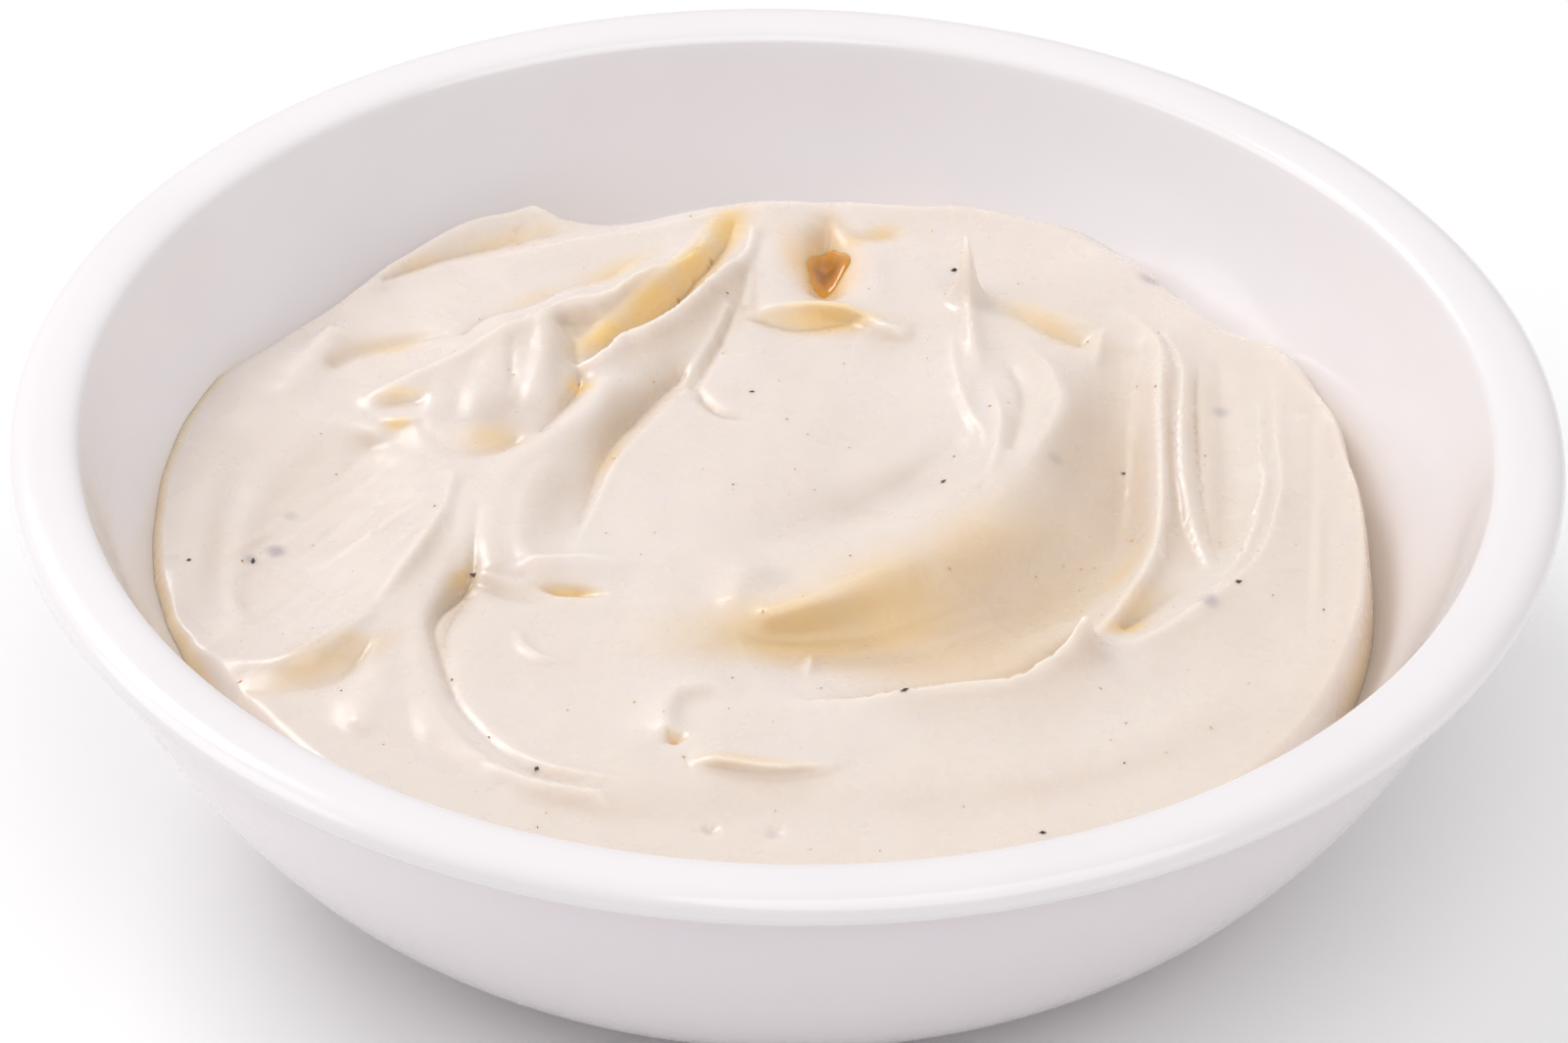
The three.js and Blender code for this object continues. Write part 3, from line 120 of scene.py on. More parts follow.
# Lines that the spoon left in the surface, each with its height along the way: (x, y, z).
# A low sharpness gives a crease or a cusp, a high one a rounded back or hollow. left and
# right are how wide the line holds the surface at its own height on each side of its way.
STROKES = [
    Stroke("back lobe crest", 1.6, 2.5, 4, [(-51, 19.2, 24.8), (-49, 21.9, 25.1), (-45, 24.5, 25.3),
        (-41.6, 26.8, 25.5), (-38, 32.3, 26.1), (-35.6, 36.7, 26.7), (-31, 41.2, 27.3),
        (-27, 44.5, 27.8), (-24, 45.1, 27.8), (-21.3, 43.3, 27), (-19.5, 42, 26.6)]),
    Stroke("back gutter", 1.3, 3, 1.2, [(-45.4, 29, 23.6), (-40.5, 34.2, 23.8), (-36.2, 38.6, 24),
        (-31.5, 42.6, 24.2), (-27, 45, 24), (-22.5, 45.6, 23.4), (-16, 46.6, 22.9), (-10, 48.2, 23),
        (-5, 49, 23.6), (0, 49.8, 23.8), (6, 49.9, 23.6), (11, 49.9, 23.2)]),
    Stroke("main lobe crest", 1.5, 1.2, 4, [(-36, 32.7, 25.8), (-33.5, 34.4, 26.2),
        (-30.5, 36, 26.5), (-26, 37.5, 26.8), (-22.5, 38.8, 26.9), (-19, 40.4, 26.9),
        (-15, 41.5, 27), (-10.6, 43.1, 27.1), (-5.5, 45.1, 27.1)]),
    Stroke("furrow", 1.4, 2, 1.2, [(-36, 34.2, 25.5), (-33.5, 36, 25.6), (-30.3, 37.9, 25.8),
        (-25.8, 39.8, 26), (-22, 41, 26.2), (-19.6, 41.7, 26.5)]),
    Stroke("left knob", 2.2, 2.5, 2.5, [(-43, 18.8, 25.7), (-41.5, 22.6, 26.2),
        (-40.2, 25.7, 26.5)]),
    Stroke("left dip", 2, 1.5, 1.5, [(-39.4, 21.7, 25.1), (-36.5, 24.1, 25.1), (-33.4, 25.3, 25.3),
        (-30.6, 25.6, 25.8)]),
    Stroke("fold back foot", 1.2, 3, 1, [(-28.4, 25.7, 25.8), (-26.5, 28.1, 26), (-22.8, 30, 26.3),
        (-20, 32.8, 26.2), (-16.6, 34.4, 26.2), (-15, 36.3, 26.4), (-13, 38.1, 26.7),
        (-10.4, 39.3, 27)]),
    Stroke("fold line", 1.1, 0.9, 2.8, [(-35.8, 17.2, 25.9), (-33, 19.1, 26.4), (-30.4, 20.7, 26.9),
        (-28, 22.5, 27.1), (-26, 24.5, 27.5), (-22.3, 26.7, 27.9), (-19.6, 28.7, 28.1),
        (-16, 29.8, 28.3), (-14.3, 31.9, 28.4), (-12.6, 33.9, 28.4), (-10, 35.4, 28.3),
        (-8.4, 38, 28), (-7.2, 43.4, 27.3)]),
    Stroke("slit slope", 2, 1.6, 1.4, [(-7.6, 42.2, 27.2), (-9.1, 38.2, 27.6), (-11, 34.7, 27.8),
        (-12.9, 31.8, 27.6), (-14.9, 29.2, 27.2), (-16.7, 26.9, 26.8), (-18.3, 25.3, 26.4)]),
    Stroke("slit floor", 1, 1.2, 1, [(-5.3, 43.4, 25.8), (-5.8, 41, 25), (-7, 37.8, 24.5),
        (-8.6, 34.6, 24.3), (-10, 31.9, 24.3), (-11.8, 29.3, 24.4), (-13.6, 27.1, 24.6),
        (-15.8, 24.7, 25), (-17.6, 22.4, 25.6)]),
    Stroke("slit lower lip", 1.1, 2.6, 0.7, [(-3.6, 42.3, 27.4), (-3.9, 39.3, 27.8),
        (-4.6, 37.3, 28), (-6, 34.9, 28.1), (-7.5, 32.5, 28.1), (-8.6, 30.3, 28.1), (-10.1, 28, 28),
        (-12.2, 25.8, 27.9), (-14.6, 24.3, 27.7), (-15.7, 22.6, 27.4), (-17.1, 21.4, 27),
        (-18.4, 21.1, 26.6)]),
    Stroke("broad fold", 2, 2.5, 2.2, [(-15.8, 18.1, 26.9), (-17.2, 15, 26.6), (-19.8, 11.4, 26.2),
        (-22.6, 8, 25.9), (-24.2, 4.8, 25.7), (-24.6, 0.9, 25.6), (-24.6, -2.8, 25.4),
        (-24.3, -5.9, 25.1)]),
    Stroke("broad fold right", 1.8, 1.8, 2, [(-21.2, 7.3, 25.7), (-22.2, 3.8, 25.7),
        (-22.6, -0.1, 25.6), (-22.4, -3.3, 25.4), (-21.4, -5.7, 25.3)]),
    Stroke("left trough", 1.2, 1.5, 1.5, [(-9.3, 21.3, 24.4), (-11, 19, 24.2), (-13, 15.6, 24.1),
        (-14.8, 12.7, 23.9), (-16, 8.9, 23.9), (-16.8, 4.6, 24.1), (-17.4, 0.1, 24.4)]),
    Stroke("plateau edge", 1.2, 3, 0.7, [(-8.9, 19.3, 25.4), (-10.3, 16.6, 25.4),
        (-12.3, 13.2, 25.3), (-13.9, 10.4, 25.2), (-15.2, 6.9, 25.1), (-16, 3.4, 24.9),
        (-17, -0.6, 24.9), (-17.6, -3.6, 24.9)]),
    Stroke("upper trough", 1.4, 1.2, 1.2, [(-3.9, 36.1, 26.2), (-4.3, 32.5, 25.9),
        (-5.2, 29.1, 25.5), (-6.1, 25.5, 25.2), (-7.4, 21.8, 25), (-8.3, 19.8, 24.8)]),
    Stroke("upper trough ridge", 1.3, 1, 1.2, [(-5.4, 30.5, 27), (-6.6, 26.7, 26.5),
        (-7.9, 23.2, 26.1), (-9, 20.4, 25.6)]),
    Stroke("upper trough bank", 1.2, 3, 0.7, [(-3.1, 35.1, 26.2), (-3.4, 31.4, 26),
        (-4.6, 27.7, 25.8), (-5.6, 24.4, 25.6), (-6.9, 21.1, 25.5), (-7.4, 18.9, 25.3),
        (-6.4, 16.8, 25.2)]),
    Stroke("hump back", 2, 3.5, 3.5, [(-24.6, 24.9, 27.8), (-25.2, 21.9, 27.4), (-25.8, 19, 27),
        (-26.2, 16, 26.6), (-26.2, 13.5, 25.9)]),
    Stroke("hump right back", 2, 2.6, 2.2, [(-21.4, 25.9, 28.1), (-21.3, 22.9, 27.8),
        (-21.5, 19.9, 27.4), (-22, 17.1, 26.9), (-22.8, 14.7, 26.1)]),
    Stroke("hump left back", 2, 3, 3, [(-28.3, 22.5, 27.1), (-29.4, 19.4, 26.7),
        (-30.2, 16.4, 26.3), (-30.4, 13.8, 25.7)]),
    Stroke("flap top", 1.6, 1.5, 2.2, [(-35.6, 16.9, 25.7), (-33.6, 17.5, 26), (-31.8, 18.4, 26.3),
        (-30.2, 19.7, 26.7)]),
    Stroke("hump right foot", 1.2, 1.2, 0.8, [(-19.7, 26, 27.3), (-18.9, 24, 26.2),
        (-18.5, 21, 25.6), (-18.2, 18.7, 24.7), (-19.6, 15.3, 25), (-21.2, 12, 25.2)]),
    Stroke("hump front foot", 2, 1.5, 1.5, [(-31.8, 13.4, 25.3), (-30.6, 10.6, 25.2),
        (-28.4, 9.3, 25.1), (-25.6, 9.3, 25), (-23.4, 10.5, 25.1)]),
    Stroke("plateau", 2.2, 6, 6, [(-10, 3.4, 24.9), (-7, 9.1, 25.1), (-1, 16.1, 25.1),
        (1, 24, 25.2)]),
    Stroke("plateau right", 2.2, 5, 5, [(9, 25.1, 25.1), (9, 17.4, 24.9), (8, 11.6, 24.8)]),
    Stroke("plateau low", 2, 4, 4, [(-14, -1.3, 24.7), (-9, -7.4, 24.8), (-9, -13.1, 24.6)]),
    Stroke("centre fold", 1.4, 1.4, 1.5, [(-4, 30.7, 25.7), (-1, 31, 26.3), (2, 31.1, 26.7),
        (5, 30.9, 26.7), (6.8, 30.1, 26.4), (8.2, 29.1, 26.1), (9.6, 28.6, 25.8),
        (11, 28.3, 25.4)]),
    Stroke("centre fold foot", 1.2, 1, 2.5, [(-3.5, 29.6, 25.4), (-1, 29, 25), (1.5, 29, 24.8),
        (4, 29.8, 24.8), (6.4, 30.3, 24.9), (8, 29.2, 25.3)]),
    Stroke("pit floor", 2, 2.4, 2.4, [(3.1, 35.3, 24), (3, 38.1, 23.7), (3.1, 40.5, 23.7),
        (3.2, 42.3, 24), (3.3, 43.6, 24.8), (3.4, 44.8, 25.6)]),
    Stroke("pit left bank", 1.8, 2.5, 2.5, [(-2.6, 33.3, 26.4), (-3.2, 37.5, 26.6),
        (-2.2, 41.8, 26.6)]),
    Stroke("pit right bank", 1.8, 2.5, 2.5, [(7.6, 33.9, 26), (7.6, 37.2, 26.1), (7, 39.9, 26)]),
    Stroke("back ridge", 1.6, 1.6, 3.5, [(-2.5, 46.3, 27), (0.5, 46.9, 26.8), (3, 47.2, 26.5)]),
    Stroke("back ridge right", 1.6, 2, 3, [(5.2, 47.5, 26.5), (10, 47.6, 26.3), (14, 47.7, 26),
        (19, 47.4, 25.5), (25, 45.1, 25.1)]),
    Stroke("back ridge foot", 1.6, 1.5, 2.5, [(4.6, 44.8, 25.6), (6.4, 43.5, 25.3),
        (8.8, 43.7, 25.4)]),
    Stroke("back right slope", 2, 5, 5, [(11, 38, 25.9), (19, 36.9, 26), (27, 35.2, 25.8),
        (32, 35.3, 25.3)]),
    Stroke("back dip edge", 1.5, 2.5, 1.2, [(17.8, 33.9, 26), (22, 32.1, 26), (26, 30, 25.9)]),
    Stroke("back dip", 1.6, 1.6, 2, [(20, 31.4, 25.5), (21.8, 29.9, 25.3), (23.8, 28.7, 25),
        (25.6, 27.8, 24.8)]),
    Stroke("spike ridge", 1.5, 2.6, 1.2, [(15.6, 33.7, 26.1), (15.6, 29.6, 26.2),
        (15.6, 25.7, 26.1), (15.6, 22, 25.9), (15.8, 18.9, 25.6)]),
    Stroke("second strand", 1.1, 1.2, 0.8, [(17.8, 19.5, 25.9), (18.3, 15.9, 26), (18.2, 12.9, 26),
        (17.9, 10, 25.9), (17.2, 7.2, 25.8), (16.4, 4.9, 25.6)]),
    Stroke("strand valley", 1.8, 1.4, 1.4, [(18.8, 24.2, 25.8), (20.2, 19.6, 25.5),
        (20, 14.9, 25.6), (19.3, 10.9, 25.7)]),
    Stroke("swirl crest", 1.7, 2.6, 5, [(20.8, 26.4, 25.9), (22.6, 22.5, 26.4), (23.6, 17.8, 26.6),
        (23, 14.2, 26.6), (21.4, 10.2, 26.5), (19.8, 6.3, 26.4), (17.5, 2.2, 26.3),
        (14, -1.4, 26.2), (10.5, -4.7, 26.1), (7, -7.9, 26), (3, -10.6, 25.8), (-1, -12.1, 25.3)]),
    Stroke("swirl inner valley", 1.6, 3, 3, [(13.6, 11.9, 24.6), (10, 7.4, 24.2), (6, 4.6, 24.1),
        (2, 2.1, 24.3), (-2.5, -1.7, 24.6)]),
    Stroke("swirl left end", 1.8, 2.5, 2.5, [(-3.6, -7, 25.6), (-4, -10.3, 25.4)]),
    Stroke("scoop foot", 1.3, 0.7, 3, [(24.4, -13.5, 23.6), (21.4, -16.3, 22.9),
        (18.4, -18.5, 22.8), (14.5, -19.5, 22.9), (10.5, -20.8, 23.2), (6, -22.5, 24)]),
    Stroke("channel left rim", 1.4, 1.2, 1.6, [(27.6, 28.9, 26), (27.1, 25.9, 26),
        (26.8, 23.8, 25.5)]),
    Stroke("deep channel", 1.8, 4, 4, [(29, 26, 25.2), (28.8, 18, 24.5), (28.6, 9.4, 23.5),
        (28, 2.4, 22.8), (26, -2.7, 22.5), (22.5, -7.5, 22.4), (17, -11.4, 22.3), (11, -12.9, 22.3),
        (5, -13.4, 22.5), (0, -14.1, 22.9), (-3.5, -15, 23.8)]),
    Stroke("right ridge", 1.3, 1.4, 2.2, [(29.2, 32.4, 25.8), (31.6, 29.2, 26.3),
        (32.6, 24.9, 26.7), (32.4, 20.6, 26.9), (32.2, 15.6, 26.9), (32.1, 8.7, 26.8),
        (31.8, 1, 26.6), (30.9, -4.7, 26.4), (29, -9.8, 26.2), (27, -13.5, 26),
        (26.2, -14.9, 25.7)]),
    Stroke("right ridge shelf", 1.3, 2.2, 0.5, [(33, 27.8, 26.4), (34.1, 22.9, 26.7),
        (33.8, 16.7, 26.8), (33.6, 8.9, 26.7), (33.9, 3.3, 26.4), (34.6, -1.3, 26.1),
        (35.4, -4.6, 25.8)]),
    Stroke("second channel wall", 1.4, 2, 0.5, [(35.7, 23.8, 25.7), (35.3, 18.7, 25.4),
        (35.2, 10.9, 25.3), (35.4, 5, 25.2), (35.8, 0, 25.2), (36.3, -3.5, 25.3)]),
    Stroke("second channel", 1.8, 2.4, 2.4, [(37.6, 24.7, 25.4), (37.6, 19.1, 25.1),
        (37.6, 11.4, 24.9), (37.4, 4.6, 24.8), (37, -1.3, 25)]),
    Stroke("second channel end", 1.3, 1, 1.2, [(34.6, -6.7, 25.4), (32.2, -9.3, 25),
        (30.2, -11.5, 24.7), (28.4, -13, 24.2)]),
    Stroke("outer ridge inner", 1.3, 2.5, 0.5, [(40.7, 18.4, 25.6), (40.5, 10.3, 25.7),
        (40.7, 6.8, 25.9), (40, 3, 25.9), (39, -1.4, 25.9), (38, -4.2, 25.8), (36.6, -6.3, 25.7)]),
    Stroke("outer ridge", 1.3, 3.2, 1.2, [(42.2, 20.4, 25.6), (42, 13.2, 25.8), (42.2, 7.3, 26),
        (41.6, 3.3, 26), (40.4, -2.1, 26), (38.4, -6.1, 26), (35.9, -9.5, 26), (33, -12.8, 25.9),
        (29.8, -15.4, 25.6), (26.8, -16.6, 25.3)]),
    Stroke("outer right slope", 2, 5, 6, [(43.8, 24.9, 25.3), (45.6, 13, 25.2), (46, 1.3, 25),
        (45, -9.3, 24.7), (41, -17.9, 24.4)]),
    Stroke("front ridge", 1, 5, 0.7, [(24.4, -16.9, 26.7), (22.4, -19.2, 26.6), (20.4, -20.9, 26.4),
        (18.3, -22.2, 26.2), (14.5, -22.9, 26.1), (10.5, -23.4, 25.8), (6, -24.1, 25.4),
        (2, -24.1, 25)]),
    Stroke("front shelf", 2, 6, 6, [(33, -21.3, 24.7), (22, -29.3, 24.7), (10, -30.3, 24.7),
        (-1, -29.9, 24.8), (-12, -33.4, 24.8)]),
    Stroke("front slope", 2, 6, 6, [(42, -25, 23.8), (31, -32.7, 23.6), (15, -38.6, 23.5),
        (0, -40.6, 23.5), (-15, -38.9, 23.7), (-28, -33.6, 24.2), (-37, -28.2, 24.3),
        (-40, -26.6, 24.2)]),
    Stroke("crease left bank", 1.6, 1.2, 4, [(-27.6, 3.9, 25.3), (-27.9, -1, 25.2),
        (-28.2, -5.9, 25.1), (-29.2, -10.5, 25.2), (-30.2, -15.3, 25.4), (-30, -19.3, 25.4),
        (-29, -23, 25.2), (-27.8, -26.7, 25), (-25.5, -30.1, 24.9), (-22.6, -33, 24.8),
        (-19, -34.9, 24.8), (-14.5, -36, 24.8)]),
    Stroke("crease low side", 1.5, 3, 1, [(-26.4, -9.9, 23.9), (-27.5, -13.3, 24),
        (-27.9, -16.7, 24.3), (-26.9, -21.5, 24.5), (-25.7, -25.7, 24.6), (-23.5, -29.3, 24.8),
        (-20.5, -32.1, 24.8), (-17, -33.8, 24.9), (-13, -34.8, 24.9)]),
    Stroke("impression", 2.2, 6, 6, [(-18, -13.4, 24.1), (-19, -19.4, 24.1), (-15, -26.9, 24.4)]),
    Stroke("fold front foot", 1.3, 2, 2, [(-25.6, -8.3, 24), (-24, -9.5, 23.9), (-22, -10.3, 23.9),
        (-20, -10.5, 24)]),
    Stroke("fold front face", 1.8, 1.5, 1.5, [(-25, -7.2, 24.9), (-23.4, -8, 24.8),
        (-21.8, -8.3, 24.6)]),
    Stroke("scoop lip upper", 1.2, 2, 2, [(-28.4, 5.7, 25.8), (-28.7, 2.5, 25.9), (-29.5, -1, 25.9),
        (-30.7, -5, 25.9), (-32.1, -8.8, 25.8), (-33.7, -12.6, 25.8)]),
    Stroke("scoop lip", 1.4, 1.6, 2.5, [(-34.3, -14.1, 25.7), (-35.2, -15.6, 25.8),
        (-37, -18, 25.8), (-39.3, -20, 25.5), (-42.5, -20.2, 24.9), (-46, -19.4, 24.2),
        (-48.4, -17.9, 23.3)]),
    Stroke("lip foot", 1.6, 2.2, 1.8, [(-33.9, -17.4, 25.2), (-34.8, -19.7, 24.6),
        (-36.4, -21.9, 24.3), (-38.8, -22.9, 24.1), (-42, -23.7, 24), (-44.8, -22.7, 23.7)]),
    Stroke("left bank", 2.2, 4, 4, [(-32.4, -16.3, 25.4), (-33.2, -22.1, 25.3),
        (-34.2, -27.7, 25)]),
    Stroke("scoop floor", 2, 6, 6, [(-36, 10.7, 24), (-39, 4.7, 23.3), (-42, -3, 23.1),
        (-44, -10.4, 23.4)]),
    Stroke("scoop wall foot", 2, 2.5, 2.5, [(-45.6, 9, 24.5), (-46.2, 3.4, 24.2), (-46.6, -3.3, 24),
        (-46.4, -9.1, 23.9), (-45, -14.1, 23.9)]),
    Stroke("outer left ridge", 2, 3, 3, [(-50.2, 12.4, 24.9), (-50.3, 5.1, 25.1), (-50.3, -0.7, 25),
        (-50.1, -6.3, 24.7), (-49.8, -10.6, 24.2), (-49.2, -14.1, 23.5)]),
    Stroke("left shoulder", 2, 4, 4, [(-45, 14.5, 25.2), (-39.5, 15.1, 25.1), (-35.5, 12.7, 25.1)]),
]

# Thin edges, notches and folds on top of that: (x, y, share of the height).
# The lean pushes an edge over to the left of its way.
EDGES = [
    Edge("right ridge edge", 0.15, 0.7, 0.7, 1.2, 0, [(31.6, 29.2, 0), (32.6, 24.9, 1),
        (32.4, 20.6, 1), (32.2, 15.6, 1), (32.1, 8.7, 1), (31.8, 1, 1), (30.9, -4.7, 1),
        (29, -9.8, 1), (27, -13.5, 0.8), (26.2, -14.9, 0)]),
    Edge("fold line edge", 0.5, 0.5, 1.2, 1.2, 0, [(-35.8, 16.6, 0.4), (-33, 18.4, 1),
        (-30.4, 20, 0.8), (-28, 21.7, 0.8), (-26, 23.7, 0.9), (-22.3, 26.1, 0.8), (-19.6, 28.1, 1),
        (-16, 29.4, 0.9), (-14.3, 31.4, 1), (-12.6, 33.4, 0.8), (-10, 35.3, 0.3), (-8, 37.8, 0)]),
    Edge("slit lip edge", 0.35, 0.8, 0.4, 1.2, 0, [(-3.9, 39, 0.2), (-6, 34.6, 1), (-8.6, 30, 0.9),
        (-12.2, 25.5, 1), (-14.6, 24, 0.9), (-17.1, 21.1, 0.6), (-18.4, 21.1, 0)]),
    Edge("outer ridge edge", 0.3, 0.9, 0.9, 1.4, 0, [(40.5, 10.2, 0), (40.7, 6.7, 0.8),
        (40, 2.9, 0.5), (38, -4.5, 0.8), (35.9, -9.5, 1), (33, -12.8, 1), (29.8, -15.4, 1),
        (26.8, -16.6, 0.5)]),
    Edge("spike ridge edge", 0.6, 0.8, 0.6, 1.2, 0, [(15.7, 34.5, 0.8), (15.8, 29.7, 1),
        (16.2, 26.2, 0.9), (16.5, 23.6, 0.5), (16.4, 20.9, 0)]),
    Edge("spike left line", 0.35, 0.5, 0.3, 1.2, 0, [(14.3, 28.9, 0), (14.2, 25.9, 0.8),
        (14.5, 22.2, 1), (15, 19.3, 1), (15.8, 16.1, 1), (16.8, 13.4, 0.8), (16.9, 10.7, 0)]),
    Edge("second strand edge", 0.4, 0.6, 0.5, 1.2, 0, [(17.6, 20, 0.1), (18.3, 15.6, 1),
        (18.2, 12.6, 1), (17.9, 9.7, 1), (17.2, 6.9, 0.7), (16.4, 4.9, 0)]),
    Edge("swirl crest edge", 0.35, 0.9, 0.9, 1.3, 0, [(20.8, 26.3, 0.2), (22.6, 22.4, 0.9),
        (23.6, 17.5, 1), (23, 13.9, 1), (21.4, 9.9, 0.7), (19.8, 6.3, 0)]),
    Edge("front peak", 0.6, 0.9, 0.9, 1.2, 0, [(25.2, -16.1, 1), (24.4, -17.4, 0.9),
        (22.4, -19.2, 0.3), (20.4, -20.9, 0)]),
    Edge("front edge", 0.4, 0.9, 0.4, 1.2, 0, [(24.2, -17.3, 0.6), (22.4, -19.4, 0.8),
        (20.4, -20.9, 1), (18.3, -22.2, 1), (14.5, -22.9, 1), (10.5, -23.4, 0.8), (6, -24.1, 0)]),
    Edge("centre fold edge", 0.5, 1.2, 0.6, 1.2, -0.2, [(-3, 30.8, 0), (-1, 30.9, 0.7),
        (2, 30.9, 1), (5, 30.7, 1), (6.8, 30, 1), (8.2, 29, 1), (9.6, 28.4, 0.8), (11, 28.2, 0)]),
    Edge("tongue", 0.8, 0.6, 2.4, 1.2, 0, [(-22, -6.5, 0.3), (-20.4, -6.1, 1), (-18, -5.6, 1),
        (-15.4, -5.5, 0.7), (-12.6, -6.1, 0)]),
    Edge("tongue hollow", -0.7, 0.5, 0.45, 1.4, 0, [(-20.6, -8.6, 0.2), (-19, -9, 1),
        (-17, -9.1, 1), (-15.6, -9.4, 0.4), (-14.4, -9.5, 0)]),
    Edge("small flap", 0.45, 0.9, 0.45, 1.2, -0.3, [(-34.8, 14, 0.6), (-33.4, 13.8, 1),
        (-31.8, 13.9, 0.5), (-30.6, 13.9, 0)]),
    Edge("upper flap", 0.3, 0.9, 0.5, 1.2, 0, [(-36, 17, 0.4), (-34.6, 16.7, 1), (-32.6, 16.7, 0.8),
        (-30.9, 17.2, 0)]),
    Edge("flap hollow", -0.25, 0.4, 0.5, 1.4, 0, [(-35, 15.8, 0.3), (-33.8, 15.9, 1),
        (-32, 16, 0.8), (-31, 16.1, 0)]),
    Edge("finger line", -0.22, 0.3, 0.35, 1.3, 0, [(-24.2, 23.3, 0.6), (-24.2, 20.5, 1),
        (-24.1, 18.2, 0.8), (-24.3, 16.3, 0)]),
    Edge("strip crease", -0.5, 0.5, 0.6, 1.3, 0, [(-20.6, 25.8, 0.2), (-19.4, 26.2, 1),
        (-17.8, 26.9, 0.9), (-16.6, 27.4, 0)]),
    Edge("low lobe", 0.7, 0.8, 2, 1.4, 0, [(-3, -23, 0), (-6, -22.1, 0.8), (-8.4, -22.9, 1),
        (-9.4, -25.2, 1), (-9.2, -27.9, 0.8), (-8.6, -29.3, 0)]),
    Edge("low lip", 0.9, 2, 0.5, 1.2, -0.4, [(-7.4, -32.3, 0), (-5, -32.3, 1), (-1, -32.7, 1),
        (2.5, -32.3, 0.7), (6, -31.3, 0)]),
    Edge("crease notch", -0.8, 0.4, 0.4, 1.3, 0, [(-26.2, 1.6, 0.1), (-26.2, -3.1, 0.3),
        (-26.1, -6.4, 0.7), (-26.5, -8.3, 1.2), (-27.4, -10.3, 1.3), (-28.5, -12.8, 1),
        (-28.9, -15.3, 0.9), (-28.4, -18.1, 0.7), (-27.5, -21.7, 0.55), (-26.4, -25.1, 0.4),
        (-24.4, -28.4, 0.35), (-22.2, -31, 0.3), (-19.2, -33.5, 0.3), (-15, -35.1, 0)]),
    Edge("bank groove", -0.12, 0.9, 0.9, 1.6, 0, [(-31.8, -17.7, 0), (-31.5, -21.2, 1),
        (-31, -24.7, 0.7), (-30.2, -27.9, 1), (-29.2, -31.1, 0.3)]),
    Edge("streak a", 0.28, 0.5, 0.5, 1.4, 0, [(-30.2, 3.1, 0.4), (-33, 0.1, 1), (-36.5, -3.3, 1),
        (-40, -6.6, 0)]),
    Edge("streak b", 0.3, 0.45, 0.7, 1.4, 0, [(-29.2, -0.3, 0.3), (-30.8, -4.8, 1),
        (-32.6, -9.4, 1), (-33.6, -12.4, 0)]),
    Edge("streak c", 0.3, 0.5, 0.8, 1.4, 0, [(-34.4, -13.4, 0.3), (-37, -16.4, 1),
        (-39.6, -19.2, 1), (-42, -20.8, 0)]),
    Edge("hook line", -0.5, 0.5, 0.5, 1.3, 0, [(-8.1, 20.2, 0), (-7.3, 17.7, 1), (-5.6, 15.9, 1),
        (-3.2, 15.4, 0.3)]),
    Edge("small mark", 0.35, 0.35, 0.5, 1.3, 0, [(-21.9, -15, 0.5), (-21.3, -16.8, 1),
        (-19.8, -18.3, 1), (-18.6, -18.5, 0.3)]),
    Edge("scoop flick", 0.5, 0.4, 0.4, 1.2, 0, [(2.5, -15, 0), (2.3, -17.3, 1), (2, -19.8, 0)]),
]

# Small single forms: the drawn-up peak, the little peak in front and a few pock marks.
PEAKS = [
    Peak("spike", 15.6, 33.4, 5, 0.85, 1.5, -0.2, 2.2),
    Peak("front peak tip", 25, -17.2, 2.1, 0.9, 1.3, 0.1, 0.4),
    Peak("dimple a", -5.4, -39.2, -0.4, 0.5, 2, 0, 0),
    Peak("dimple b", -0.2, -39.4, -0.3, 0.6, 2, 0, 0),
    Peak("yellow dot", -8.5, -29, -0.7, 0.6, 2, 0, 0),
]

# Small waves all over: (cell, height, seed), and how far each is turned for its seed.
WAVES = [(8.0, 0.16, 1), (3.6, 0.08, 2), (1.5, 0.03, 3)]
WAVE_TURN = 0.3
NOISE_CELLS = 64
NOISE_OFFSET = 1000.0

# Fine streaks left by the spoon: place, extent, and how they run.
STREAKS = [
    Streak(-38, -3, 9, 12, 55, 7, 0.7, 0.1, 4),
    Streak(45, 2, 5, 18, 86, 12, 0.9, 0.1, 5),
    Streak(14, -14, 12, 7, 25, 9, 1.0, 0.08, 6),
    Streak(30, 12, 4, 14, 88, 9, 0.8, 0.08, 7),
]

# ---- mayonnaise, marks

# Ground pepper on the surface: (x, y).
PEPPER = [
    (-3.1, 19.2), (13.5, 6.8), (14.6, 38.0), (17.3, -21.5), (-25.9, -7.0), (-19.5, -33.0),
    (-44.7, -4.8), (-49.9, -6.5), (29.1, 10.5), (38.0, -7.6), (21.2, -39.0), (10.1, -23.6),
]
# Spice on the surface: (x, y).
SPICE = [
    (1.6, 1.8), (27.3, 1.0), (21.2, -4.0), (23.7, -6.0), (25.1, -2.0), (40.9, -8.5), (-1.6, -12.0),
    (-9.5, -14.4), (7.0, -13.0), (25.0, -35.0), (-44.3, -22.0), (15.0, 19.5),
]
# Specks sunk under the surface: (x, y, radius, strength).
SUNK_SPECKS = [
    (-42.9, -3.0, 0.8, 0.55), (-44.9, -4.6, 0.6, 0.45), (35.5, -10.5, 0.8, 0.45),
    (32.1, 38.5, 1.0, 0.5), (37.6, 17.9, 0.7, 0.35), (23.1, 9.5, 0.6, 0.3), (-42.0, 2.0, 0.6, 0.3),
    (-0.8, -7.5, 1.6, 0.12),
]
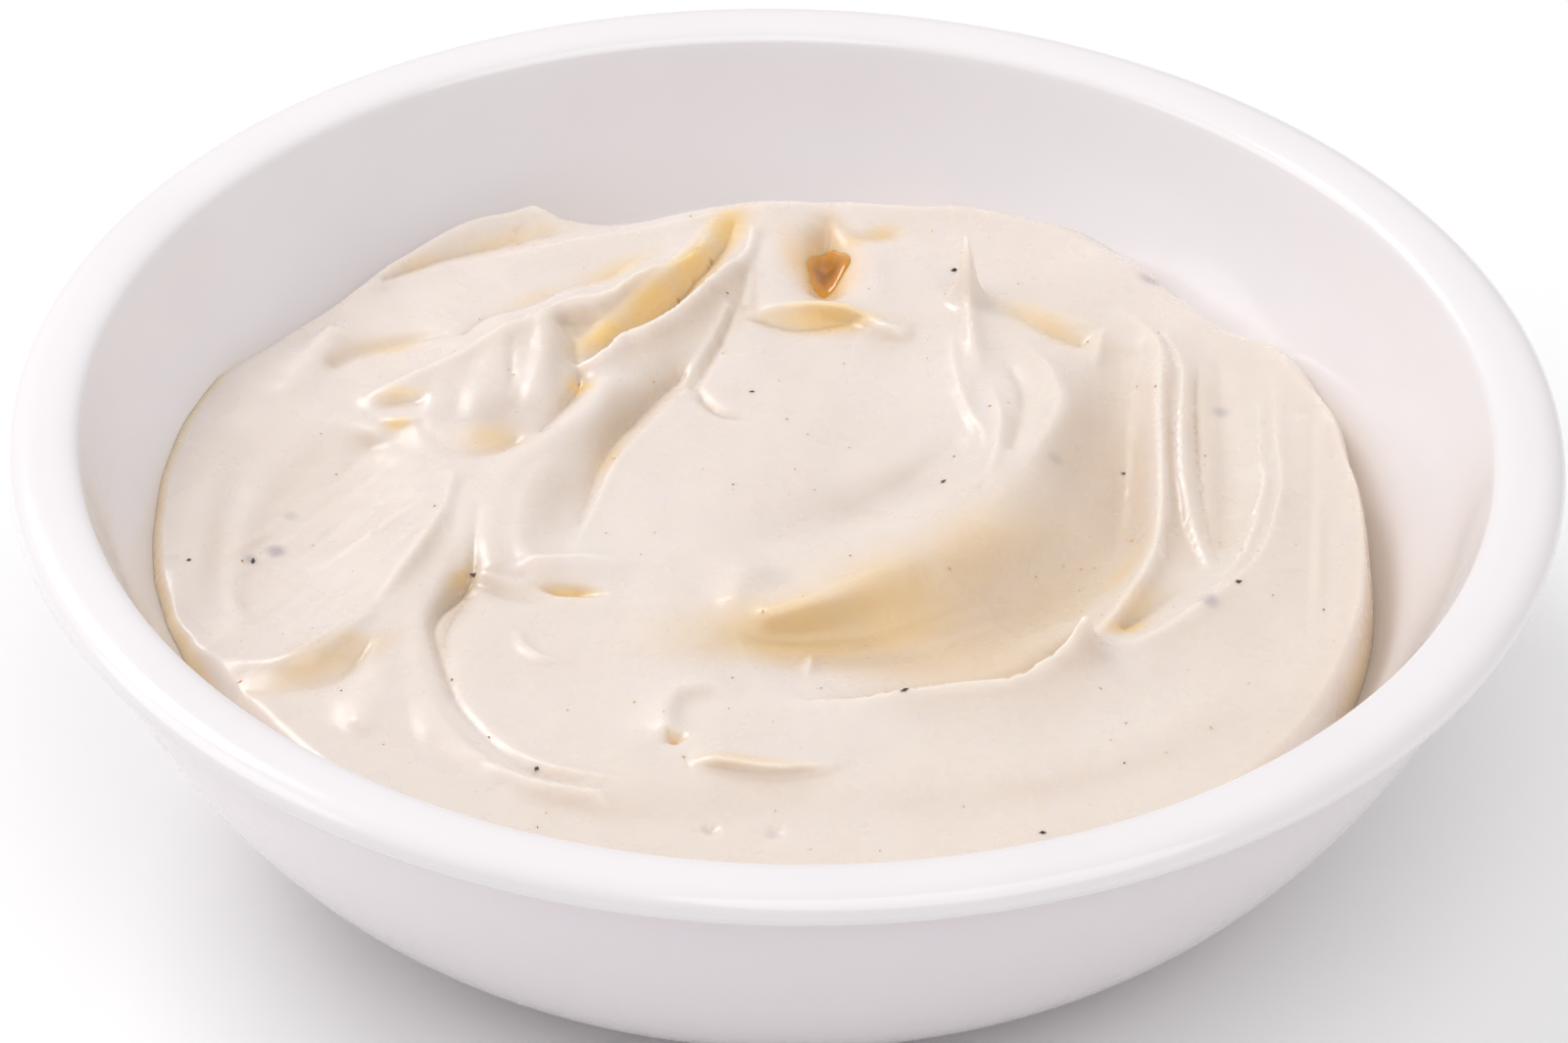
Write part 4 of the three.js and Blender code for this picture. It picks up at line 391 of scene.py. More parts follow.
# Painted warm shade: yellow patches in the hollows and under the folds, where the cream is in
# shade: (x, y, half length, half width, turn in degrees, strength).
WARM_SHADE_PATCHES = [
    (2, -13.4, 9, 3.4, 10, 0.8), (9, -10.3, 8, 5, 35, 0.7), (15, -4.3, 9, 4, 50, 0.45),
    (14, -14.5, 9, 4.5, 20, 0.45), (21, -9, 8, 5, 50, 0.3), (28.5, -4.3, 4, 1.3, 65, 0.5),
    (28.5, -13.5, 1.8, 0.8, 25, 0.9), (29.5, -10.4, 3, 1.2, 60, 0.35),
    (-5.8, 42.6, 3.4, 1.6, 72, 1.0), (-8.6, 36.3, 5, 1.4, 64, 1.0), (-12.3, 30.5, 5, 1.3, 56, 1.0),
    (-16.2, 25.6, 3, 1.1, 50, 1.0), (3.2, 29.9, 4.2, 1.0, 2, 1.0), (-18, 18.3, 1.2, 0.7, -30, 1.0),
    (-25.3, 11.2, 2.2, 1.6, 0, 0.6), (-27, -7.9, 1.7, 0.6, 60, 1.0),
    (-37.5, -20.2, 5.5, 1.5, 30, 0.5), (-35.5, -17.8, 1.5, 1.0, 30, 0.5),
    (22.5, 30.3, 4, 1.4, -35, 0.5), (-25, 40.7, 4.5, 1.0, 25, 0.35), (-33, 36.6, 2, 1.0, 40, 0.25),
    (-15.5, 35.9, 3.5, 1.1, 40, 0.5), (-22.5, 31.4, 2.5, 0.8, 35, 0.35),
    (-34.5, 24.3, 2.5, 1.3, 10, 0.45), (8.2, 43.9, 1.6, 1.1, 20, 0.6), (5.8, 43, 1.0, 0.9, 0, 0.5),
    (-33.6, 16.6, 1.8, 0.6, 8, 0.5), (-33.7, 13.2, 1.2, 0.6, 0, 0.7),
    (-17.8, -9.0, 2.0, 0.4, -4, 1.0), (-15.2, 9.7, 2.2, 0.8, 70, 0.4),
    (-8.5, -29, 0.7, 0.6, 0, 0.8), (-2.5, -32.4, 3.5, 0.6, -4, 0.4),
]
# Duller patches where the cream lies in the shade of its own folds, in the same form.
SHADE_PATCHES = [
    (19, -9, 11, 6.5, 45, 0.42), (6, -15.5, 11, 3, 5, 0.45), (28, 5, 3, 10, 0, 0.25),
    (26.5, 19, 2, 7, 0, 0.2), (-24.8, 13.5, 3.4, 3.2, 0, 0.4), (-20.6, 22, 1.4, 5, 0, 0.3),
    (-19.5, 3, 6, 2, 80, 0.3), (-12.8, 17, 7, 1.6, 62, 0.3), (7, 4.5, 8, 2.5, 30, 0.25),
    (22, 6, 9, 3, 60, 0.2), (-27.2, -9, 5, 1.6, 70, 0.5), (-24.5, -7.5, 1.8, 2.2, 0, 0.35),
    (-36, -19, 4, 2, 30, 0.3),
]
# Amber stains of oil and egg yolk, in the same form; the second, left of the pit, also paints the
# shade on the pit's left wall.
AMBER_STAINS = [
    (3.2, 38.6, 4.2, 2.4, 90, 0.95), (0.6, 38.8, 4.0, 1.5, 100, 0.45),
    (3.6, 44.2, 2.4, 1.1, 95, 0.3),
]

# Flecks: how long, wide and high against their size, and how rough.
FLECK_STRETCH = [(0.7, 1.0), (1.0, 1.6), (0.45, 0.8)]
FLECK_ROUGH = (0.75, 1.15)

# The drop of amber oil in the pit.
DROP_X = 3.3
DROP_Y = 39.2
DROP_HALF_WIDTH = 2.1
DROP_HALF_LENGTH = 3.9
DROP_HEIGHT = 0.55
DROP_POINTED = 1.45
DROP_SLANT = 0.3
DROP_UNEVEN = (0.05, 0.03)
DROP_SINK = 0.3
DROP_LEAST = 0.01
DROP_RINGS = 12
DROP_SEGMENTS = 48

# Marks are made only above this height, so not on the underside.
MARKS_ABOVE = 16
# Painted shade for the hollows is found on a grid of heights, by the light that the ridges round
# them take away.
GRID_HALF = 54.0
GRID_STEP = 0.75
SKY_STEPS = (1.1, 1.6, 2.3, 3.2, 4.5, 6.0, 8.0, 11.0, 15.0)
# How strongly each side of the sky counts: (degrees round from +X, weight).
SKY_SIDES = [
    (135, 1.0), (90, 0.9), (180, 0.7), (45, 0.6), (225, 0.4), (0, 0.4), (270, 0.3), (315, 0.3),
]
HOLLOW_SHADE_RAMP = (0.10, 0.42)
# Painted shade in narrow slits: a yellow tint for the light that scatters deep in the cream.
SLIT_BLUR = 1.4
SLIT_DEPTH = 1.6
SLIT_SHADE_RAMP = (0.25, 1.0, 0.0, 0.9)
# The cream is warmer away from the middle, towards the front and the right.
WARM_SHARE = 0.8
WARM_MIDDLE = 0.45
WARM_SPREAD = 80.0
WARM_FROM = 20
WARM_FADE = 30
# Painted shade: a yellow band along the wall at both sides of the bowl, where the steep shoulder of
# the cream is in shade.
EDGE_WIDTH = 0.7
EDGE_INSIDE = 1.5
EDGE_FROM_SIDE = 44.0
EDGE_FADE = 4

# ---- colours and light

CREAM = (0.775, 0.69, 0.635)
CREAM_PALE = (0.785, 0.71, 0.67)
CREAM_WARM = (0.765, 0.675, 0.595)
# painted shade in the hollows
HOLLOW_SHADE_TINT = (0.70, 0.565, 0.44)
# painted shade in the slits
SLIT_SHADE_TINT = (0.86, 0.60, 0.26)
SUNK_TINT = (0.30, 0.27, 0.33)
# painted warm shade in hollows and under folds
WARM_SHADE_TINT = (0.83, 0.585, 0.25)
SHADE_TINT = (0.52, 0.40, 0.31)
# painted shade on the cream's shoulder along the wall
EDGE_SHADE_TINT = (0.84, 0.66, 0.44)
AMBER_TINT = (0.85, 0.50, 0.12)
DROP_COLOUR = (0.62, 0.26, 0.02)
DROP_DEEP = (0.24, 0.065, 0.005)
CREAM_SCATTER = 0.0012
CREAM_REACH = (1.0, 0.9, 0.65)
GLAZE_COLOUR = (0.845, 0.805, 0.82)
GLAZE_SHADE = (0.825, 0.785, 0.80)
# painted shade on the outside of the bowl, which faces down and away from the light
GLAZE_OUTSIDE_SHADE = (0.79, 0.725, 0.755)
FLOOR_COLOUR = (0.92, 0.92, 0.92)
FLOOR_LIGHTER = 1.01
FLOOR_SIZE = 3.0
CLOUD_RAMP = (0.35, 0.7)
WORLD_COLOUR = (1.0, 1.0, 1.0)
WORLD_STRENGTH = 0.58
EXPOSURE = 0.0
# name, place, size, power; all in white
LIGHTS = [
    ("key", (-0.38, 0.34, 0.52), 0.34, 1.8),
    ("fill", (0.22, -0.32, 0.75), 0.80, 2.4),
    ("side", (-0.60, -0.05, 0.40), 0.50, 0.85),
]
LIGHT_COLOUR = (1.0, 1.0, 1.0)
LIGHT_AIM = (0, 0, 0.02)

# ---- camera, from the photo

CAMERA_ELEVATION = math.radians(35.207)
CAMERA_DISTANCE = 550.0
CAMERA_ROLL = math.radians(1.321)
CAMERA_AIM_X = -0.06
CAMERA_AIM_Z = 25.42
CAMERA_LENS = 151.106
CAMERA_CLIP = 0.01
SENSOR_WIDTH = 36.0

# ---- lines, rings and objects


def smooth_line(points, steps=CURVE_STEPS):
    """A smooth line through the given points, as an array of points."""
    points = np.array(points, float)
    ends = np.vstack([2 * points[0] - points[1], points, 2 * points[-1] - points[-2]])
    line = []
    for i in range(1, len(ends) - 2):
        a, b, c, d = ends[i - 1:i + 3]
        for step in range(steps):
            t = step / steps
            line.append(0.5 * (
                2 * b + (c - a) * t
                + (2 * a - 5 * b + 4 * c - d) * t * t
                + (3 * b - a - 3 * c + d) * t * t * t))
    line.append(points[-1])
    return np.array(line)


def nearest_on_line(line, x, y):
    """Distance to a line, side of it (+1 left, -1 right), its third value and its direction."""
    best = np.full(x.shape, np.inf)
    side = np.zeros(x.shape)
    value = np.zeros(x.shape)
    along_x = np.ones(x.shape)
    along_y = np.zeros(x.shape)
    for (ax, ay, av), (bx, by, bv) in zip(line[:-1], line[1:]):
        dx, dy = bx - ax, by - ay
        length = math.hypot(dx, dy)
        t = np.clip(((x - ax) * dx + (y - ay) * dy) / length ** 2, 0, 1)
        ex = x - ax - t * dx
        ey = y - ay - t * dy
        squared = ex * ex + ey * ey
        closer = squared < best
        best[closer] = squared[closer]
        side[closer] = ((dx * ey - dy * ex) / length)[closer]
        value[closer] = (av + (bv - av) * t)[closer]
        along_x[closer] = dx / length
        along_y[closer] = dy / length
    distance = np.sqrt(best)
    return distance, side / np.maximum(distance, TINY), value, along_x, along_y


def stitch_rings(inner, outer, faces):
    """Triangles between two rings of points, each given as (first index, count)."""
    start_in, count_in = inner
    start_out, count_out = outer
    i = j = 0
    while i < count_in or j < count_out:
        a = start_in + i % count_in
        b = start_out + j % count_out
        if j < count_out and (i >= count_in or (j + 1) * count_in <= (i + 1) * count_out):
            faces.append((a, b, start_out + (j + 1) % count_out))
            j += 1
        else:
            if count_in > 1:
                faces.append((a, b, start_in + (i + 1) % count_in))
            i += 1


def new_object(name, points_mm, faces, smooth=True):
    """A mesh object from points in millimetres."""
    mesh = bpy.data.meshes.new(name)
    mesh.from_pydata((np.asarray(points_mm, float) * MM).tolist(), [], faces)
    mesh.validate()
    mesh.polygons.foreach_set("use_smooth", [smooth] * len(mesh.polygons))
    mesh.update()
    obj = bpy.data.objects.new(name, mesh)
    bpy.context.scene.collection.objects.link(obj)
    return obj


def add_value(obj, name, values):
    """A value on each corner point of a mesh, for its material to read."""
    attribute = obj.data.attributes.new(name, "FLOAT", "POINT")
    attribute.data.foreach_set("value", np.asarray(values, np.float32))


# ---- bowl


def inside_line():
    """The inside of the wall and the floor, from the axis out to the mouth: rows of (r, z)."""
    line = smooth_line([(0, FLOOR_HEIGHT)] + WALL_LINE, WALL_STEPS)
    line[:, 0] = np.maximum(line[:, 0], 0)
    return line


LINER = inside_line()


def bezier(p0, p1, p2, p3, steps):
    """Points on a cubic curve, without the first."""
    t = np.linspace(0, 1, steps + 1)[1:, None]
    p0, p1, p2, p3 = (np.array(p, float) for p in (p0, p1, p2, p3))
    return ((1 - t) ** 3 * p0 + 3 * (1 - t) ** 2 * t * p1
            + 3 * (1 - t) * t ** 2 * p2 + t ** 3 * p3)


def bowl_profile():
    """The whole section of the bowl, from the axis inside to the axis under the foot."""
    mouth = (MOUTH_RADIUS, BOWL_HEIGHT - MOUTH_DEPTH)
    crest = (RIM_CREST_RADIUS, BOWL_HEIGHT)
    lip = (RIM_RADIUS, BOWL_HEIGHT - LIP_DROP)
    groove = (GROOVE_RADIUS, BOWL_HEIGHT - GROOVE_DEPTH)
    bottom = (BODY_BOTTOM_RADIUS, BODY_BOTTOM_HEIGHT)
    foot = [
        (FOOT_OUTER_RADIUS + FOOT_SHOULDER[0], BODY_BOTTOM_HEIGHT - FOOT_SHOULDER[1]),
        (FOOT_OUTER_RADIUS, FOOT_ROUNDING),
        (FOOT_OUTER_RADIUS - FOOT_ROUNDING, 0),
        (FOOT_INNER_RADIUS + FOOT_ROUNDING, 0),
        (FOOT_INNER_RADIUS, FOOT_ROUNDING),
        (FOOT_INNER_RADIUS - FOOT_ROUNDING, FOOT_RECESS),
        (0, FOOT_RECESS),
    ]
    return np.vstack([
        inside_line(),
        bezier(mouth, (mouth[0] + MOUTH_PULL, BOWL_HEIGHT),
               (crest[0] - CREST_PULLS[0], BOWL_HEIGHT), crest, RIM_STEPS),
        bezier(crest, (crest[0] + CREST_PULLS[1], BOWL_HEIGHT),
               (RIM_RADIUS, lip[1] + LIP_PULLS[0]), lip, RIM_STEPS),
        bezier(lip, (RIM_RADIUS, lip[1] - LIP_PULLS[1]),
               (groove[0] + GROOVE_PULL[0], groove[1] + GROOVE_PULL[1]), groove, GROOVE_STEPS),
        bezier(groove, BODY_CURVE_HIGH, (BODY_CURVE_LOW_RADIUS, bottom[1]), bottom, BODY_STEPS),
        foot,
    ])


def make_bowl():
    """The bowl, turned from its section."""
    turns = 2 * np.pi * np.arange(BOWL_SEGMENTS) / BOWL_SEGMENTS
    points = []
    rings = []
    for r, z in bowl_profile():
        ring_turns = [0.0] if r < 1e-6 else turns
        rings.append((len(points), len(ring_turns)))
        points += [(r * math.cos(turn), r * math.sin(turn), z) for turn in ring_turns]
    faces = []
    for inner, outer in zip(rings[:-1], rings[1:]):
        for j in range(BOWL_SEGMENTS):
            k = (j + 1) % BOWL_SEGMENTS
            if inner[1] == 1:
                faces.append((inner[0], outer[0] + j, outer[0] + k))
            elif outer[1] == 1:
                faces.append((outer[0], inner[0] + k, inner[0] + j))
            else:
                faces.append((inner[0] + j, outer[0] + j, outer[0] + k, inner[0] + k))
    obj = new_object("bowl_glazed", points, faces)
    x, y, z = np.array(points, float).T
    r = np.hypot(x, y)
    beyond = (r > np.interp(z, LINER[:, 1], LINER[:, 0]) + BOWL_WALL_LEAST) | (z < FLOOR_HEIGHT)
    # Painted shade: the glaze is darkened on the outside below the lip.
    add_value(obj, "outside_shade", beyond * np.clip((BOWL_HEIGHT - LIP_DROP - z) / GLAZE_CHANGE, 0, 1))
    return obj


# ---- mayonnaise

stroke_lines = [(stroke, smooth_line(stroke.line)) for stroke in STROKES]
edge_lines = [(edge, smooth_line(edge.line)) for edge in EDGES]


def rim_at(angle):
    """Height and shoulder width of the line on the wall, by angle in radians."""
    table = np.array(RIM_LINE, float)
    degrees = np.degrees(angle)
    degrees = np.where(degrees < table[0, 0], degrees + 360, degrees)
    i = np.clip(np.searchsorted(table[:, 0], degrees, side="right") - 1, 0, len(table) - 2)
    t = (degrees - table[i, 0]) / (table[i + 1, 0] - table[i, 0])
    t = t * t * (3 - 2 * t)
    height = table[i, 1] + (table[i + 1, 1] - table[i, 1]) * t
    shoulder = table[i, 2] + (table[i + 1, 2] - table[i, 2]) * t
    return height, shoulder


def wall_radius(height):
    """Radius at which the mayonnaise meets the wall at a height."""
    return np.interp(height, LINER[:, 1], LINER[:, 0]) + WALL_OVERLAP


def width_at(form, side):
    """Width of a stroke or an edge, from its right side to its left."""
    return form.right + (form.left - form.right) * (0.5 + 0.5 * side)


def spooned_height(x, y):
    """A mean of the strokes' heights, each weighted by its nearness."""
    total = np.zeros(x.shape)
    weights = np.zeros(x.shape)
    for stroke, line in stroke_lines:
        distance, side, value, _, _ = nearest_on_line(line, x, y)
        soft = np.hypot(distance, CREST_ROUNDING)
        fade = np.exp(-(distance / BLEND_RADIUS) ** 2)
        weight = (width_at(stroke, side) / soft) ** stroke.sharpness * fade + TINY
        total += weight * value
        weights += weight
    return total / weights


def small_forms(x, y, peaks=PEAKS):
    """Sideways shift and added height of the thin edges, notches and peaks."""
    shift_x = np.zeros(x.shape)
    shift_y = np.zeros(x.shape)
    rise = np.zeros(x.shape)
    for edge, line in edge_lines:
        reach = EDGE_REACH * max(edge.left, edge.right)
        low = line[:, :2].min(0) - reach
        high = line[:, :2].max(0) + reach
        near = (x > low[0]) & (x < high[0]) & (y > low[1]) & (y < high[1])
        if not near.any():
            continue
        distance, side, value, along_x, along_y = nearest_on_line(line, x[near], y[near])
        away = np.hypot(distance, EDGE_ROUNDING) - EDGE_ROUNDING
        share = np.maximum(value, 0) * np.exp(-(away / width_at(edge, side)) ** edge.power)
        rise[near] += edge.height * share
        shift_x[near] -= edge.lean * share * along_y
        shift_y[near] += edge.lean * share * along_x
    for peak in peaks:
        distance = np.hypot(x - peak.x, y - peak.y)
        away = np.hypot(distance, EDGE_ROUNDING) - EDGE_ROUNDING
        share = np.exp(-(away / peak.radius) ** peak.power)
        rise += peak.height * share
        shift_x += peak.lean_x * share ** 2
        shift_y += peak.lean_y * share ** 2
    return shift_x, shift_y, rise


def settle(x, y, catch):
    """Draw the points beside a sharp crest on to it, so that its line stays clean."""
    lines = [line for _, line in edge_lines]
    lines += [line for stroke, line in stroke_lines if stroke.sharpness <= CREST_SHARPNESS]
    best = np.full(x.shape, np.inf)
    to_x, to_y = x.copy(), y.copy()
    for line in lines:
        for a, b in zip(line[:-1], line[1:]):
            along = b[:2] - a[:2]
            t = np.clip(((x - a[0]) * along[0] + (y - a[1]) * along[1]) / (along @ along), 0, 1)
            near_x, near_y = a[0] + t * along[0], a[1] + t * along[1]
            away = np.hypot(x - near_x, y - near_y)
            closer = away < best
            best = np.where(closer, away, best)
            to_x, to_y = np.where(closer, near_x, to_x), np.where(closer, near_y, to_y)
    caught = best < catch
    return np.where(caught, to_x, x), np.where(caught, to_y, y)


def surface_rings():
    """The top, from the middle to the wall: points, rings, and angle and height of the last."""
    ring_count = int(float(wall_radius(USUAL_LEVEL)) / RING_SPACING)
    # (share of the way to the shoulder, share round the shoulder)
    steps = [(k / ring_count, 0.0) for k in range(1, ring_count + 1)]
    steps += [(1.0, k / SHOULDER_RINGS) for k in range(1, SHOULDER_RINGS + 1)]
    angles, flat_share, bend_share, rings = [0.0], [0.0], [0.0], [(0, 1)]
    for k, (flat, bend) in enumerate(steps, 1):
        count = RING_POINTS * min(k, ring_count)
        turns = 2 * np.pi * np.arange(count) / count
        rings.append((len(angles), count))
        angles += list(np.arctan2(np.sin(turns), np.cos(turns)))
        flat_share += [flat] * count
        bend_share += [bend] * count
    angles, flat_share, bend_share = map(np.array, (angles, flat_share, bend_share))
    contact, shoulder = rim_at(angles)
    bend = bend_share * np.pi / 2
    r = (wall_radius(contact) - shoulder) * flat_share + shoulder * np.sin(bend)
    rise = np.cos(bend) ** 2
    x, y = settle(r * np.cos(angles), r * np.sin(angles), CREST_CATCH * (bend_share == 0))
    shift_x, shift_y, small = small_forms(x, y)
    height = spooned_height(x, y) + small + fine_unevenness(x, y)
    z = contact + (height - contact) * rise
    points = np.column_stack([x + shift_x * rise, y + shift_y * rise, z])
    last = slice(rings[-1][0], sum(rings[-1]))
    return points, rings, angles[last], contact[last]


def make_mayonnaise():
    """The mayonnaise: its surface, and an underside that follows the wall down to the axis."""
    surface, rings, rim_angles, rim_height = surface_rings()
    top_rings = len(rings)
    lengths = np.r_[0, np.cumsum(np.hypot(*np.diff(LINER, axis=0).T))]
    order = np.argsort(rim_angles)
    parts = [surface]
    start = len(surface)
    for k in range(1, UNDERSIDE_RINGS + 1):
        share = 1 - k / (UNDERSIDE_RINGS + 1)
        count = max(UNDERSIDE_LEAST, int(len(rim_angles) * share))
        turns = 2 * np.pi * np.arange(count) / count
        turns = np.arctan2(np.sin(turns), np.cos(turns))
        top = np.interp(turns, rim_angles[order], rim_height[order], period=2 * np.pi)
        at = np.interp(top, LINER[:, 1], lengths) * share
        radius = np.interp(at, lengths, LINER[:, 0])
        depth = np.interp(at, lengths, LINER[:, 1])
        parts.append(np.column_stack([radius * np.cos(turns), radius * np.sin(turns), depth]))
        rings.append((start, count))
        start += count
    parts.append(np.array([[0, 0, FLOOR_HEIGHT]]))
    rings.append((start, 1))

    faces = []
    for k in range(top_rings - 1):
        stitch_rings(rings[k], rings[k + 1], faces)
    below = []
    for k in range(len(rings) - 1, top_rings - 1, -1):
        stitch_rings(rings[k], rings[k - 1], below)
    faces += [(a, c, b) for a, b, c in below]
    return new_object("mayonnaise_swirled", np.vstack(parts), faces)


# ---- uneven surface and its hollows


def between_cells(values, u, v, columns, rows):
    """Values between the four corners of each cell; columns and rows give their places."""
    (u0, u1), (v0, v1) = columns, rows
    low = values[u0, v0] * (1 - u) + values[u1, v0] * u
    high = values[u0, v1] * (1 - u) + values[u1, v1] * u
    return low * (1 - v) + high * v


def lattice_noise(x, y, cell_x, cell_y, turn, seed):
    """Smooth random waves between -1 and 1, with cells of the given size, turned by an angle."""
    size = NOISE_CELLS
    values = np.random.default_rng(seed).uniform(-1, 1, (size, size))
    c, s = math.cos(turn), math.sin(turn)
    u = (c * x + s * y) / cell_x + NOISE_OFFSET
    v = (-s * x + c * y) / cell_y + NOISE_OFFSET
    iu, iv = np.floor(u).astype(int), np.floor(v).astype(int)
    fu, fv = u - iu, v - iv
    fu, fv = fu * fu * (3 - 2 * fu), fv * fv * (3 - 2 * fv)
    return between_cells(
        values, fu, fv, (iu % size, (iu + 1) % size), (iv % size, (iv + 1) % size))


def fine_unevenness(x, y):
    """Small waves all over, and the fine streaks that the spoon dragged along its way."""
    waves = 0.0
    for cell, height, seed in WAVES:
        waves = waves + height * lattice_noise(x, y, cell, cell, WAVE_TURN * seed, seed)
    for streak in STREAKS:
        inside = np.exp(-(((x - streak.x) / streak.size_x) ** 2
                          + ((y - streak.y) / streak.size_y) ** 2) ** 2)
        waves = waves + streak.height * inside * lattice_noise(
            x, y, streak.long, streak.wide, math.radians(streak.angle), streak.seed)
    return waves


def blurred(grid, radius_cells):
    """A grid of heights with a soft blur, along rows and columns."""
    reach = int(3 * radius_cells)
    offsets = np.arange(-reach, reach + 1)
    kernel = np.exp(-0.5 * (offsets / radius_cells) ** 2)
    kernel /= kernel.sum()
    padded = np.pad(grid, reach, mode="edge")
    for axis in (1, 0):
        padded = np.apply_along_axis(lambda a: np.convolve(a, kernel, "valid"), axis, padded)
    return padded


def grid_lookup(grid, x, y):
    """Values of a grid at places between its points."""
    u = np.clip((x + GRID_HALF) / GRID_STEP, 0, grid.shape[1] - 1.001)
    v = np.clip((y + GRID_HALF) / GRID_STEP, 0, grid.shape[0] - 1.001)
    iu, iv = u.astype(int), v.astype(int)
    return between_cells(grid.T, u - iu, v - iv, (iu, iu + 1), (iv, iv + 1))


def sky_lost(heights):
    """Share of the light that the ridges round each place take away, from 0 to 1."""
    lost = np.zeros_like(heights)
    total = 0.0
    rows, columns = heights.shape
    for degrees, weight in SKY_SIDES:
        horizon = np.zeros_like(heights)
        for step in SKY_STEPS:
            dx = round(step * math.cos(math.radians(degrees)) / GRID_STEP)
            dy = round(step * math.sin(math.radians(degrees)) / GRID_STEP)
            pad = max(abs(dx), abs(dy))
            wide = np.pad(heights, pad, mode="edge")
            there = wide[pad + dy:pad + dy + rows, pad + dx:pad + dx + columns]
            horizon = np.maximum(horizon, (there - heights) / (GRID_STEP * math.hypot(dx, dy)))
        lost += weight * horizon / np.hypot(1, horizon)
        total += weight
    return lost / total


def surface_height(x, y):
    """Height of the finished surface over a place away from the wall."""
    return spooned_height(x, y) + small_forms(x, y)[2] + fine_unevenness(x, y)


def patches_at(x, y, patches):
    """The strongest of some soft oval patches at each place."""
    strongest = np.zeros(len(x))
    for px, py, half_length, half_width, turn, strength in patches:
        c, s = math.cos(math.radians(turn)), math.sin(math.radians(turn))
        along = ((x - px) * c + (y - py) * s) / half_length
        across = ((y - py) * c - (x - px) * s) / half_width
        strongest = np.maximum(strongest, strength * np.exp(-along ** 2 - across ** 2))
    return strongest


def specks_at(x, y):
    """How strongly a sunk speck darkens each place."""
    sunk = np.zeros(len(x))
    for px, py, radius, strength in SUNK_SPECKS:
        away = ((x - px) ** 2 + (y - py) ** 2) / radius ** 2
        sunk = np.maximum(sunk, strength * np.exp(-away ** 1.5))
    return sunk


def mark_surface(obj):
    """Values for the colours: painted shade in hollows, slits and along the wall's edge, warmth,
    painted warm shade and shade patches, amber stains and specks.
    """
    grid_axis = np.arange(-GRID_HALF, GRID_HALF + GRID_STEP / 2, GRID_STEP)
    grid_x, grid_y = np.meshgrid(grid_axis, grid_axis)
    heights = spooned_height(grid_x, grid_y) + small_forms(grid_x, grid_y, [])[2]
    narrow = blurred(heights, SLIT_BLUR / GRID_STEP) - heights
    co = np.empty(len(obj.data.vertices) * 3)
    obj.data.vertices.foreach_get("co", co)
    x, y, z = co.reshape(-1, 3).T / MM
    radius = np.hypot(x, y)
    towards_front_right = np.clip(WARM_MIDDLE + (x - y) / WARM_SPREAD, 0, 1)
    warm = WARM_SHARE * towards_front_right * np.clip((radius - WARM_FROM) / WARM_FADE, 0, 1)
    at_side = np.clip((np.abs(x) - EDGE_FROM_SIDE) / EDGE_FADE, 0, 1)
    from_line = (wall_radius(rim_at(np.arctan2(y, x))[0]) - radius) / EDGE_WIDTH
    marks = {
        # painted shade: light that the ridges round each place take away
        "hollow": np.clip(grid_lookup(sky_lost(heights), x, y), 0, 1),
        # painted shade in narrow slits, by how deep they lie below their surroundings
        "slit": np.clip(grid_lookup(narrow, x, y) / SLIT_DEPTH, 0, 1),
        "sunk": specks_at(x, y),
        # painted warm shade in hollows and under folds
        "warm_shade": patches_at(x, y, WARM_SHADE_PATCHES),
        "amber": patches_at(x, y, AMBER_STAINS),
        "shade": patches_at(x, y, SHADE_PATCHES),
        # painted shade on the steep shoulder next to the wall
        "edge": at_side * np.clip(EDGE_INSIDE - from_line, 0, 1),
    }
    for name, values in marks.items():
        add_value(obj, name, np.where(z > MARKS_ABOVE, values, 0))
    add_value(obj, "outer", warm)


# ---- flecks


def make_flecks(name, places, size_low, size_high, seed, sink):
    """Small rough flecks half sunk in the surface, as one mesh."""
    rng = random.Random(seed)
    points, faces = [], []
    corners = [(1, 0, 0), (-1, 0, 0), (0, 1, 0), (0, -1, 0), (0, 0, 1), (0, 0, -1)]
    octants = [(0, 2, 4), (2, 1, 4), (1, 3, 4), (3, 0, 4),
               (2, 0, 5), (1, 2, 5), (3, 1, 5), (0, 3, 5)]
    heights = surface_height(*np.array(places, float).T)
    for (x, y), z in zip(places, heights):
        size = rng.uniform(size_low, size_high) / 2
        turn = rng.uniform(0, math.pi)
        stretch = [rng.uniform(*span) for span in FLECK_STRETCH]
        start = len(points)
        for corner in corners:
            rough = rng.uniform(*FLECK_ROUGH)
            px, py, pz = (size * rough * s * v for s, v in zip(stretch, corner))
            points.append((x + px * math.cos(turn) - py * math.sin(turn),
                           y + px * math.sin(turn) + py * math.cos(turn),
                           z + pz - sink * size))
        faces += [(start + a, start + b, start + c) for a, b, c in octants]
    return new_object(name, points, faces, smooth=False)


def scattered_places(count, seed, radius):
    """Random places on the surface, evenly spread within a radius."""
    rng = random.Random(seed)
    places = []
    while len(places) < count:
        x, y = rng.uniform(-radius, radius), rng.uniform(-radius, radius)
        if math.hypot(x, y) < radius:
            places.append((x, y))
    return places


# ---- amber drop


